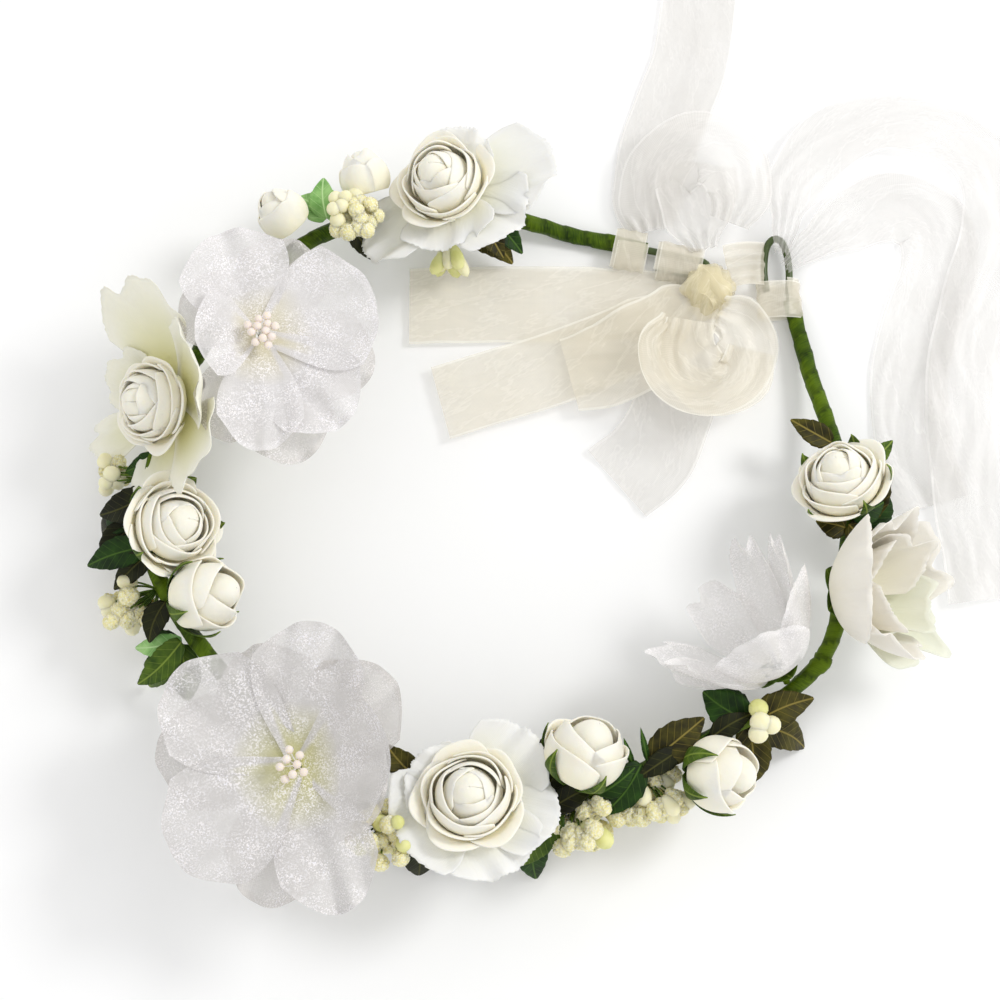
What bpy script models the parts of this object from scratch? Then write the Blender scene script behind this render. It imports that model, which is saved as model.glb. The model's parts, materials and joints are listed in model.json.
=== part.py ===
"""Flower crown: a taped wire band with foam roses, silk and organza flowers, buds, leaves and a ribbon tie.

The crown lies flat. The origin is the middle of the head opening, on the surface that it lies on; +Z is up.
Tables are in millimetres; everything that reaches Blender is in metres.
"""

from math import cos, pi, sin

import bpy
from mathutils import Matrix, Vector

MM = 0.001
UP = Vector((0, 0, 1))

# Driving dimensions, in millimetres.
WIRE_RADIUS = 1.15
STEM_RADIUS = 0.9
TAPE_RADIUS = 2.7
TAPE_SIDES = 8
BORE_RADIUS = 1.5
GAP = 0.4
BLOOM_GAP = 1.1
PETAL_THICKNESS = 0.6
LEAF_THICKNESS = 1.2
RIBBON_THICKNESS = 0.4
BAND_STEP = 10.0
RIBBON_STEP = 8.0
MOSTLY_LEVEL = 0.7
FLEX_GAP = 1.0
RIM_STEPS = 4
# The tape's flat underside lies on the table at both ends of the band.
END_HEIGHT = TAPE_RADIUS * cos(pi / TAPE_SIDES)

# The band's middle line, from its left end round the front to the flex joint, then up the right arm.
MAIN_LINE = [
    (44, 86.8, END_HEIGHT), (32, 89.3, END_HEIGHT), (20, 91.8, END_HEIGHT), (4, 95.5, 6), (-12, 96.5, 12),
    (-38, 93, 20), (-65, 82, 24), (-90, 57, 24), (-106, 26, 24), (-111, -6, 24), (-102, -31, 24),
    (-82, -57, 24), (-58, -84, 24), (-33, -95, 24), (0, -94, 24), (27, -86, 24), (55, -73, 24), (80, -60, 24),
    (94, -48, 24),
]
ARM_LINE = [
    (94, -48, 24), (99, -36, 24), (102, -18, 23), (104, -2, 21), (102, 16, 16), (98, 34, 9),
    (94, 50, 5), (91.4, 62, 3), (89.6, 70, 2.9),
]
# Wire loops bent from the core wire at both ends of the band.
LEFT_LOOP = [
    (47, 86.2, END_HEIGHT), (56, 84.2, 2.6), (62, 82.8, 2.8), (63.6, 80.4, 2.8), (61.4, 78.2, 2.8),
    (54, 79.2, 2.6), (47, 80.6, END_HEIGHT),
]
RIGHT_LOOP = [
    (89.2, 73, 2.9), (89.4, 80, 3), (88.6, 86, 3), (86.8, 89.8, 3), (84.4, 90.2, 3), (82.2, 87, 3),
    (81.4, 80, 3), (82, 73, 2.9),
]

COLOURS = {
    "wire": ((0.16, 0.22, 0.09), 0.55),
    "tape": ((0.10, 0.24, 0.03), 0.7),
    "foam": ((0.93, 0.91, 0.82), 0.75),
    "silk": ((0.95, 0.95, 0.92), 0.6),
    "silk_green": ((0.86, 0.89, 0.66), 0.65),
    "sheer": ((0.94, 0.93, 0.95), 0.4),
    "calyx": ((0.16, 0.30, 0.05), 0.6),
    "bud": ((0.90, 0.87, 0.62), 0.6),
    "leaf": ((0.10, 0.17, 0.04), 0.5),
    "ribbon": ((0.97, 0.94, 0.86), 0.35),
}


def clear_scene():
    for obj in list(bpy.data.objects):
        bpy.data.objects.remove(obj)


def material(slot):
    if slot in bpy.data.materials:
        return bpy.data.materials[slot]
    colour, roughness = COLOURS[slot]
    made = bpy.data.materials.new(slot)
    made.use_nodes = True
    shader = made.node_tree.nodes["Principled BSDF"]
    shader.inputs["Base Color"].default_value = (*colour, 1)
    shader.inputs["Roughness"].default_value = roughness
    shader.inputs["Metallic"].default_value = 0
    return made


def add_object(name, points, faces, slot, parent=None):
    """A named object from points in millimetres, smooth shaded, in its parent's frame if it has one."""
    mesh = bpy.data.meshes.new(name)
    mesh.from_pydata([Vector(p) * MM for p in points], [], faces)
    mesh.materials.append(material(slot))
    mesh.validate()
    mesh.shade_smooth()
    obj = bpy.data.objects.new(name, mesh)
    bpy.context.scene.collection.objects.link(obj)
    obj.parent = parent
    return obj


# ---- lines ----------------------------------------------------------------------------------------------


def smooth_line(points, step=BAND_STEP):
    """Points about a step apart on a smooth curve through the given ones."""
    ends = [Vector(points[0]) * 2 - Vector(points[1])] + [Vector(p) for p in points]
    ends.append(Vector(points[-1]) * 2 - Vector(points[-2]))
    line = []
    for a, b, c, d in zip(ends, ends[1:], ends[2:], ends[3:]):
        count = max(1, round((c - b).length / step))
        for i in range(count):
            t = i / count
            bend = (c - a) * t + (a * 2 - b * 5 + c * 4 - d) * t**2 + (b * 3 - a - c * 3 + d) * t**3
            line.append(b + bend / 2)
    line.append(Vector(points[-1]))
    return line


def tangents(line):
    last = len(line) - 1
    return [(line[min(i + 1, last)] - line[max(i - 1, 0)]).normalized() for i in range(len(line))]


def carried_frames(line):
    """Pairs of cross directions along a line, the first level where it can be, carried on without twist."""
    ahead = tangents(line)
    side = ahead[0].cross(UP)
    side = side if side.length > 0.1 else Vector((1, 0, 0))
    frames = []
    for direction in ahead:
        side = (side - direction * side.dot(direction)).normalized()
        frames.append((side, side.cross(direction)))
    return frames


def ribbon_frames(line):
    """Pairs of cross directions along a ribbon: level across its width, and carried over where it stands up."""
    side = None
    frames = []
    for direction in tangents(line):
        level = Vector((direction.x, direction.y, 0)).cross(UP)
        if side is None or level.length > MOSTLY_LEVEL:
            flips = side is not None and level.dot(side) < 0
            side = -level.normalized() if flips else level.normalized()
        else:
            side = (side - direction * side.dot(direction)).normalized()
        frames.append((side, side.cross(direction)))
    return frames


def nearest_on(line, point):
    """The point of a line nearest to a point, and the line's direction there."""
    found = []
    for a, b in zip(line, line[1:]):
        share = max(0, min(1, (point - a).dot(b - a) / (b - a).length_squared))
        found.append((a.lerp(b, share), (b - a).normalized()))
    return min(found, key=lambda place: (place[0] - point).length)


# ---- solids ---------------------------------------------------------------------------------------------


def ring_faces(first, second, count):
    return [(first + i, first + (i + 1) % count, second + (i + 1) % count, second + i) for i in range(count)]


def turned_back(faces):
    return [face[::-1] for face in faces]


def tube(name, line, radii, slot, sides=8, bore=None, ripple=0.0, lobes=5, parent=None):
    """A round body along a line, solid or with a bore that is open at both ends.

    radii is one radius or one for each point; ripple makes them wave round the line in that many lobes.
    """
    if not isinstance(radii, list):
        radii = [radii] * len(line)
    points, faces = [], []
    for place, (side, over), radius in zip(line, carried_frames(line), radii):
        for size in [radius, bore] if bore else [radius]:
            for i in range(sides):
                turn = 2 * pi * (i + 0.5) / sides
                wave = size * (1 + ripple * cos(lobes * turn))
                points.append(place + (side * cos(turn) + over * sin(turn)) * wave)
    stride = sides * 2 if bore else sides
    last = (len(line) - 1) * stride
    for start in range(0, last, stride):
        faces += turned_back(ring_faces(start, start + stride, sides))
        if bore:
            faces += ring_faces(start + sides, start + stride + sides, sides)
    if bore:
        faces += ring_faces(0, sides, sides)
        faces += turned_back(ring_faces(last, last + sides, sides))
    else:
        faces.append(tuple(range(sides)))
        faces.append(tuple(last + i for i in reversed(range(sides))))
    return add_object(name, points, faces, slot, parent)


def turned(name, profile, slot, sides=12, ripple=0.0, lobes=5, twist=0.0, parent=None):
    """A closed body turned about +Z from (radius, height) pairs that start and end on the axis.

    ripple makes the radius wave round the axis in that many lobes, and twist turns the lobes with height.
    """
    points, faces = [(0, 0, profile[0][1])], []
    rings = profile[1:-1]
    for radius, height in rings:
        for i in range(sides):
            turn = 2 * pi * i / sides
            size = radius * (1 + ripple * cos(lobes * turn + twist * height))
            points.append((size * cos(turn), size * sin(turn), height))
    points.append((0, 0, profile[-1][1]))
    top = len(points) - 1
    start = 1 + (len(rings) - 1) * sides
    for i in range(sides):
        faces.append((0, 1 + (i + 1) % sides, 1 + i))
        faces.append((top, start + i, start + (i + 1) % sides))
    for k in range(len(rings) - 1):
        faces += ring_faces(1 + k * sides, 1 + (k + 1) * sides, sides)
    return add_object(name, points, faces, slot, parent)


def petal_cup(name, reach, rise, slot, petals=5, notch=0.35, hole=0.0, lift=0.0, roll=0.0, parent=None):
    """A cup or dish of joined petals round +Z: they reach out, rise at the tips and part at a notch."""
    sides = RIM_STEPS * petals
    points = [] if hole else [(0, 0, lift)]
    rings = [k / 3 for k in range(0 if hole else 1, 4)]
    for share in rings:
        for i in range(sides):
            turn = 2 * pi * i / sides + roll
            edge = reach * (1 - notch * (1 - abs(cos(pi * i / RIM_STEPS)) ** 0.7) * share)
            out = hole + (edge - hole) * share
            points.append((out * cos(turn), out * sin(turn), lift + rise * share**1.7))
    start = 0 if hole else 1
    faces = []
    for k in range(len(rings) - 1):
        faces += ring_faces(start + k * sides, start + (k + 1) * sides, sides)
    if not hole:
        faces += [(0, 1 + (i + 1) % sides, 1 + i) for i in range(sides)]
    cup = add_object(name, points, faces, slot, parent)
    shell = cup.modifiers.new("thickness", "SOLIDIFY")
    shell.thickness = PETAL_THICKNESS * MM
    shell.offset = 0
    return cup


def blade(name, base, tip, width, slot="leaf"):
    """One leaf as a pointed blade from base to tip, arched upward in the middle."""
    base, tip = Vector(base), Vector(tip)
    along = tip - base
    side = along.cross(UP).normalized() * width / 2
    over = side.cross(along).normalized()
    shares = [(0.08, 0.3), (0.3, 0.85), (0.55, 1.0), (0.8, 0.6)]
    points, faces = [base], []
    for share, wide in shares:
        middle = base + along * share + over * sin(pi * share)
        half = over * LEAF_THICKNESS / 2
        points += [middle + side * wide, middle + half, middle - side * wide, middle - half]
    points.append(tip)
    top = len(points) - 1
    for i in range(4):
        faces.append((0, 1 + (i + 1) % 4, 1 + i))
        faces.append((top, top - 4 + i, top - 4 + (i + 1) % 4))
    for k in range(len(shares) - 1):
        faces += ring_faces(1 + 4 * k, 5 + 4 * k, 4)
    return add_object(name, points, faces, slot)


def fuse(base, pieces):
    """Joins pieces to base with Boolean unions and hides them."""
    for piece in pieces:
        union = base.modifiers.new("join_" + piece.name, "BOOLEAN")
        union.operation = "UNION"
        union.object = piece
        piece.hide_render = True
        piece.display_type = "WIRE"
    return base


def ribbon(name, stations):
    """A flat ribbon through stations of (x, y, z, width, lean), where lean tips it sideways by degrees."""
    keys = [Vector(station[:3]) for station in stations]
    line = smooth_line(keys, RIBBON_STEP)
    points, faces = [], []
    for place, (level, up) in zip(line, ribbon_frames(line)):
        i, j = sorted(range(len(keys)), key=lambda k: (place - keys[k]).length)[:2]
        near, far = (place - keys[i]).length, (place - keys[j]).length
        share = near / (near + far)
        width, lean = (stations[i][k] + (stations[j][k] - stations[i][k]) * share for k in (3, 4))
        tip = Matrix.Rotation(lean * pi / 180, 3, level.cross(up))
        side = tip @ level
        over = tip @ up * RIBBON_THICKNESS / 2
        half = side * width / 2
        points += [place + half + over, place - half + over, place - half - over, place + half - over]
    for k in range(len(line) - 1):
        faces += turned_back(ring_faces(4 * k, 4 * k + 4, 4))
    faces += [(0, 1, 2, 3), tuple(reversed(range(len(points) - 4, len(points))))]
    return add_object(name, points, faces, "ribbon")


# ---- parts ----------------------------------------------------------------------------------------------


def band(main, arm):
    """Core wires with their end loops, and the floral tape wound over them."""
    tube("core_wire_main", smooth_line(LEFT_LOOP, 4)[::-1] + main, WIRE_RADIUS, "wire", sides=6)
    tube("core_wire_right", arm + smooth_line(RIGHT_LOOP, 4), WIRE_RADIUS, "wire", sides=6)
    tube("tape_wrap_main", main, TAPE_RADIUS, "tape", TAPE_SIDES, bore=BORE_RADIUS)
    tube("tape_wrap_right", arm, TAPE_RADIUS, "tape", TAPE_SIDES, bore=BORE_RADIUS)


def empty_at(name, matrix, parent=None):
    empty = bpy.data.objects.new(name, None)
    bpy.context.scene.collection.objects.link(empty)
    empty.parent = parent
    empty.matrix_basis = matrix
    return empty


def flower_frames(name, line, base, facing):
    """The foot, where the stem leaves the band and bends, the bloom, with +Z out of it, and the stem's line."""
    base, facing = Vector(base), Vector(facing).normalized()
    middle, _ = nearest_on(line, base)
    foot = middle + (base - middle).normalized() * (TAPE_RADIUS + GAP)
    stem = empty_at(name + "_foot", Matrix.Translation(foot * MM))
    turn = facing.to_track_quat("Z", "Y").to_matrix().to_4x4()
    bloom = empty_at(name + "_bloom", Matrix.Translation((base - foot) * MM) @ turn, stem)
    return stem, bloom, stem_line(base - foot, facing)


def stem_line(base, facing):
    """Five points from the foot to just under the flower's base, where the stem runs along facing."""
    end = base - facing * BLOOM_GAP
    start_pull, end_pull = base * 0.35, end - facing * base.length * 0.4
    line = []
    for i in range(5):
        t = i / 4
        line.append(start_pull * 3 * t * (1 - t) ** 2 + end_pull * 3 * t**2 * (1 - t) + end * t**3)
    return line


def calyx(name, stem, line, cup):
    """The green cup of sepals under a flower, on its wire stem."""
    radii = [STEM_RADIUS, STEM_RADIUS, STEM_RADIUS * 1.2, cup * 0.5, cup]
    tube(name, line, radii, "calyx", sides=10, ripple=0.12, parent=stem)


def foam_rose(name, bloom, radius, height, lift=0.4):
    """A foam rose: a rounded bowl with an open top and a bud in the middle."""
    profile = [
        (0, 0), (radius * 0.45, 0), (radius * 0.85, height * 0.22), (radius, height * 0.55),
        (radius * 0.92, height * 0.88), (radius * 0.7, height * 0.8), (radius * 0.5, height), (0, height * 0.9),
    ]
    lifted = [(across, up + lift) for across, up in profile]
    turned(name, lifted, "foam", ripple=0.05, lobes=3, twist=0.3, parent=bloom)


def stamens(name, stem, line, facing, crown):
    """A stem that runs on through the petals and ends in a dome of pearl stamens."""
    facing = Vector(facing).normalized()
    top = [line[-1] + facing * rise for rise in (1.8, 4.8, 7, 8.6)]
    radii = [STEM_RADIUS] * 6 + [crown * 0.7, crown, crown * 0.5]
    tube(name, line + top, radii, "bud", sides=10, ripple=0.1, parent=stem)


def bud_cluster(name, line, middle, radius, length, leaf_tip):
    """A cluster of grainy buds on a short stem, as one lumpy body beside the band, some with a leaf."""
    middle = Vector(middle)
    on_band, _ = nearest_on(line, middle)
    out = (middle - on_band).normalized()
    foot = on_band + out * (TAPE_RADIUS + GAP)
    start = max((middle - foot).length - length / 2, 0.6)
    rises = [0, start * 0.5, start, start + length * 0.3, start + length * 0.65, start + length]
    radii = [0.7, 0.7, radius * 0.35, radius * 0.9, radius, radius * 0.45]
    cluster = tube(name, [foot + out * rise for rise in rises], radii, "bud", sides=12, ripple=0.1, lobes=4)
    if leaf_tip:
        fuse(cluster, [blade(name + "_leaf", foot + out * 0.3, leaf_tip, 8)])


def leaf_sprig(name, hub, tips, width):
    """Leaves that fan out from one hub beside or under the band."""
    first = blade(name, hub, tips[0], width)
    others = [blade(f"{name}_{i}", hub, tip, width) for i, tip in enumerate(tips[1:])]
    knob = turned(name + "_knob", [(0, -1.2), (1.2, -0.6), (1.2, 0.6), (0, 1.2)], "leaf", sides=6)
    knob.location = Vector(hub) * MM
    fuse(first, others + [knob])


def sheer_flower(name, line, base, facing, reach, roll):
    """Two layers of organza petals on a stem of pearl stamens."""
    stem, bloom, route = flower_frames(name, line, base, facing)
    petal_cup(name + "_petals_upper", reach * 0.88, reach * 0.16, "sheer", 5, 0.5, 2.4, 1.8, roll, bloom)
    petal_cup(name + "_petals_under", reach, reach * 0.06, "sheer", 5, 0.5, 2.4, 0, roll + 0.6, bloom)
    stamens(name + "_stamens", stem, route, facing, 3.6)


# Foam roses and buds: name, line, base, facing, radius, height, reach of the silk petals under it (0 for none).
ROSES = [
    ("top_rose", "main", (-18, 98, 28.5), (-0.35, 0.2, 0.9), 14, 17, 26),
    ("front_rose", "main", (-12, -90, 32), (0, 0.2, 1), 14, 15, 26),
    ("left_rose", "main", (-104, -8, 30), (0.55, 0.05, 0.83), 13.5, 15, 0),
    ("left_bud", "main", (-97, -30, 29), (0.8, 0.12, 0.58), 10.5, 19, 0),
    ("front_bud", "main", (20, -81, 29), (0.35, 0.75, 0.55), 12, 17, 0),
    ("corner_bud", "main", (56, -81, 27), (0.85, -0.1, 0.5), 11, 18, 0),
    ("right_rose", "arm", (102, 4, 27), (-0.3, 0.5, 0.8), 13, 15, 0),
]
# Half-open buds on the band's upper left: name, base, facing.
TOP_BUDS = [("top_bud_a", (-67, 87, 28), (-0.6, 0.6, 0.5)), ("top_bud_b", (-44, 98, 26), (-0.25, 0.9, 0.3))]
# Bud clusters: name, middle, radius, length, tip of the leaf on the same stem.
BUD_CLUSTERS = [
    ("buds_top", (-48, 89, 31), 6, 11, None),
    ("buds_left", (-122, 11, 14), 4.5, 9, None),
    ("buds_side", (-116, -30, 14), 6, 14, None),
    ("buds_front", (-38, -100, 30), 5, 10, None),
    ("buds_middle", (23, -98, 15), 5.5, 14, None),
    ("buds_right", (44, -90, 15), 5.5, 13, (27, -93, 11)),
    ("buds_corner", (75, -66, 29), 4, 8, None),
    ("buds_inner", (-19, 84, 10), 4.5, 11, (1, 82, 4)),
]
# Leaf sprigs: name, hub, tips, width.
LEAF_SPRIGS = [
    ("leaves_top", (-57, 90.6, 25), [(-66, 98, 21), (-58, 102, 24), (-50, 98, 21)], 6.5),
    ("leaves_left", (-114.5, -4, 20), [(-128, -5, 0), (-125, -1, 13), (-126, -17, 10)], 8),
    ("leaves_side", (-100, -42, 20), [(-112, -53, 0), (-112, -43, 9), (-99, -58, 7)], 8),
    ("leaves_front", (-29, -95.5, 19), [(-28, -111, 0), (-31, -80, 14), (-14, -108, 6)], 9),
    ("leaves_middle", (7, -93, 19), [(8, -112, 0), (6, -78, 15), (17, -76, 13)], 9),
    ("leaves_corner", (72, -66, 19), [(91, -72, 0), (60, -56, 10), (73, -84, 5)], 9),
    ("leaves_arm", (108, -5, 18), [(118, -10, 5), (117, 6, 13), (113, 19, 19)], 8),
]
# Ribbon runs: name, stations of (x, y, z, width, lean).
RIBBON_RUNS = [
    ("ribbon_tail_left_upper", [
        (54, 72, 3.4, 8, 0), (40, 69, 2.2, 20, 0), (20, 69, 1.2, 25, 0), (-8, 69, 0.8, 25, 0),
        (-32, 69, 0.8, 25, 0),
    ]),
    ("ribbon_tail_left_lower", [
        (55, 68, 5.4, 8, 0), (42, 59, 4.2, 20, 0), (20, 50, 3.4, 24, 0), (0, 43, 2.6, 24, 0),
        (-22, 37, 2.4, 24, 0),
    ]),
    ("ribbon_tail_down", [
        (61, 66, 1.8, 8, 0), (58, 52, 1, 20, 0), (52, 34, 0.4, 26, 0), (44, 20, 0.2, 28, 0),
        (34, 11, 0.2, 28, 0),
    ]),
    ("ribbon_tail_up", [
        (46, 95, 0.2, 18, 0), (44, 106, 0.2, 22, 0), (49, 124, 0.2, 25, 0), (58, 148, 0.2, 25, 0),
        (62, 172, 0.2, 25, 0), (64, 186, 0.2, 25, 0),
    ]),
    ("ribbon_loop_upper", [
        (46, 93, 3.5, 12, 0), (45, 102, 5, 20, 0), (49, 112, 8, 24, 0), (60, 118, 11, 25, 0), (70, 113, 13, 24, 0),
        (73, 103, 12, 20, 0), (70, 94, 9, 12, 0),
    ]),
    ("ribbon_loop_lower", [
        (66, 64, 12, 10, -30), (72, 60, 13, 18, -35), (75, 51, 13, 22, -35), (71, 41, 13, 22, -35),
        (61, 37, 13, 22, -35), (51, 41, 13, 22, -35), (47, 51, 13, 18, -35), (52, 60, 12, 10, -30),
    ]),
    ("ribbon_bridge", [(69, 80, 7, 14, 0), (75, 81, 7.4, 14, 0), (81, 81, 7, 14, 0)]),
    ("ribbon_streamer_outer", [
        (86, 84, 9, 12, 0), (88, 94, 8, 18, 0), (91, 107, 6, 23, 0), (102, 122, 4, 22, 0), (120, 130, 3, 20, 0),
        (140, 128, 2.4, 22, 0), (155, 116, 2.4, 24, 0), (158, 96, 2.4, 25, 0), (151, 74, 2.4, 25, 0),
        (145, 50, 2.4, 25, 0), (144, 24, 2.4, 25, 0), (147, -2, 2.4, 25, 0), (150, -26, 2.4, 25, 0),
    ]),
    ("ribbon_streamer_inner", [
        (88, 80, 6, 12, 0), (97, 88, 4, 18, 0), (110, 97, 1.4, 23, 0), (124, 102, 0.4, 24, 0),
        (136, 96, 0.2, 25, 0), (138, 80, 0.2, 25, 0), (131, 62, 0.2, 25, 0), (127, 42, 0.2, 25, 0),
        (128, 22, 0.2, 25, 0), (133, 4, 0.2, 25, 0),
    ]),
]
KNOT = [(0, -4.5), (4, -3.6), (5.4, 0), (4, 3.6), (0, 4.5)]
KNOT_MIDDLE = (62.5, 72, 8.5)


def build():
    main = smooth_line(MAIN_LINE)
    arm = smooth_line(ARM_LINE)
    main[-1] -= tangents(main)[-1] * FLEX_GAP
    arm[0] += tangents(arm)[0] * FLEX_GAP
    lines = {"main": main, "arm": arm}
    band(main, arm)
    for name, line, base, facing, radius, height, skirt in ROSES:
        stem, bloom, route = flower_frames(name, lines[line], base, facing)
        calyx(name + "_calyx", stem, route, cup=radius * 0.4)
        if skirt:
            petal_cup(name + "_petals", skirt, 5, "silk", lift=0.6, roll=0.6, parent=bloom)
        foam_rose(name, bloom, radius, height, lift=1.8 if skirt else 0.4)
    sheer_flower("front_sheer", main, (-62, -80, 40), (-0.12, -0.03, 1), 40, 0.2)
    sheer_flower("left_sheer", main, (-72, 52, 44), (0.2, -0.04, 1), 33, 0.9)
    stem, bloom, route = flower_frames("side_organza", main, (80, -50, 29), (-0.5, 0.66, 0.56))
    calyx("side_organza_calyx", stem, route, cup=4)
    petal_cup("side_organza_petals", 24, 33, "sheer", lift=0.6, roll=0.3, parent=bloom)
    stem, bloom, route = flower_frames("silk_left", main, (-103, 30, 31), (-0.65, -0.12, 0.75))
    calyx("silk_left_calyx", stem, route, cup=4)
    petal_cup("silk_left_petals", 24, 14, "silk_green", lift=0.6, roll=0.2, parent=bloom)
    foam_rose("silk_left_rose", bloom, 11, 15, lift=3.2)
    stem, bloom, route = flower_frames("silk_right", arm, (100, -28, 31), (0.72, 0.05, 0.69))
    calyx("silk_right_calyx", stem, route, cup=4)
    petal_cup("silk_right_petals", 25, 24, "silk", lift=0.6, roll=0.4, parent=bloom)
    for name, base, facing in TOP_BUDS:
        _, bloom, _ = flower_frames(name, main, base, facing)
        foam_rose(name, bloom, 8, 13)
    for name, middle, radius, length, leaf_tip in BUD_CLUSTERS:
        bud_cluster(name, main, middle, radius, length, leaf_tip)
    for name, hub, tips, width in LEAF_SPRIGS:
        leaf_sprig(name, hub, tips, width)
    for name, stations in RIBBON_RUNS:
        ribbon(name, stations)
    knot = turned("ribbon_knot", KNOT, "ribbon", sides=10, ripple=0.1, lobes=3)
    knot.location = Vector(KNOT_MIDDLE) * MM


clear_scene()
build()
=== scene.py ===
"""Looks for the flower crown: foam roses, silk and organza flowers, buds, leaves, a taped band and ribbons.

Shapes are worked out in millimetres and turned to metres as their meshes are made. Flowers and buds take
their place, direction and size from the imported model's nodes. The band and the ribbons follow its lines.
"""

import json
from math import cos, pi, radians, sin, sqrt
from random import Random

import bmesh
import bpy
import numpy as np
from mathutils import Matrix, Vector, noise


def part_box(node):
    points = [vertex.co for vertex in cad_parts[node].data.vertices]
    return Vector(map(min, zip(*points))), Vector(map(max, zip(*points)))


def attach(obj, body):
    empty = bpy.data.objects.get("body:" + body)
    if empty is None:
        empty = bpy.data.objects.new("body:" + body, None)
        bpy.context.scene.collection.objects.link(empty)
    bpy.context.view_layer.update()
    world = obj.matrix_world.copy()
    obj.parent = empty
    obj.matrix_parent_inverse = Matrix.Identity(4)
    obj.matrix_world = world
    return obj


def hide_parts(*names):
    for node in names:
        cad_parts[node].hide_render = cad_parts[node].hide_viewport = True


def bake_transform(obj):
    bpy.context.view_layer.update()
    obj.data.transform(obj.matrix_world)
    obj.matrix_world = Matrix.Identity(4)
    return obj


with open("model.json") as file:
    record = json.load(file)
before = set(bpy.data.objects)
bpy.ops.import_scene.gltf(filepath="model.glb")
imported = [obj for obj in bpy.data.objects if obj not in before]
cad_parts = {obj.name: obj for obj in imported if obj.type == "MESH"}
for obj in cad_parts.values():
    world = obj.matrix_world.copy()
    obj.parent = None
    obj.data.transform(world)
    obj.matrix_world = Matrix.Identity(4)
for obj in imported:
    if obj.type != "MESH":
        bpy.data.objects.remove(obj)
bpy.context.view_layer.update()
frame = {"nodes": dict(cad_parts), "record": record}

MM = 0.001
UP = Vector((0, 0, 1))
RECORD = frame["record"]
BODY = {node: body for body, nodes in RECORD["behaviour"]["bodies"].items() for node in nodes}

# Camera, light and floor, in metres.
AIM = Vector((-0.00305, 0.00155, 0.025))
CAMERA_DISTANCE = 0.720
CAMERA_ELEVATION = radians(80)
LENS_MM = 85
NEAREST_SEEN = 0.01
KEY_PLACE = (0.95, 0.40, 1.0)
KEY_SIZE = 0.40
KEY_POWER = 7.2
SKY_STRENGTH = 0.88
FLOOR_HEIGHT = -0.0006
FLOOR_SIZE = 6.0
FLOOR_COLOUR = (0.97, 0.97, 0.97, 1)

# The band's middle line and the wire loops at its ends, in millimetres, as the model has them.
END_HEIGHT = 2.494
MAIN_LINE = [
    (44, 86.8, END_HEIGHT), (32, 89.3, END_HEIGHT), (20, 91.8, END_HEIGHT), (4, 95.5, 6), (-12, 96.5, 12),
    (-38, 93, 20), (-65, 82, 24), (-90, 57, 24), (-106, 26, 24), (-111, -6, 24), (-102, -31, 24),
    (-82, -57, 24), (-58, -84, 24), (-33, -95, 24), (0, -94, 24), (27, -86, 24), (55, -73, 24), (80, -60, 24),
    (94, -48, 24),
]
ARM_LINE = [
    (94, -48, 24), (99, -36, 24), (102, -18, 23), (104, -2, 21), (102, 16, 16), (98, 34, 9),
    (94, 50, 5), (91.4, 62, 3), (89.6, 70, 2.9),
]
LEFT_LOOP = [
    (47, 86.2, END_HEIGHT), (56, 84.2, 2.6), (62, 82.8, 2.8), (63.6, 80.4, 2.8), (61.4, 78.2, 2.8),
    (54, 79.2, 2.6), (47, 80.6, END_HEIGHT),
]
RIGHT_LOOP = [
    (89.2, 73, 2.9), (89.4, 80, 3), (88.6, 86, 3), (86.8, 89.8, 3), (84.4, 90.2, 3), (82.2, 87, 3),
    (81.4, 80, 3), (82, 73, 2.9),
]
WIRE_RADIUS = 1.15
TAPE_RADIUS = 2.55
TAPE_PITCH = 7.0
TAPE_SIDES = 24
SLEEVE = 4.0
SLEEVE_SWELL = 1.16


# ---- shapes ----


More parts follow.
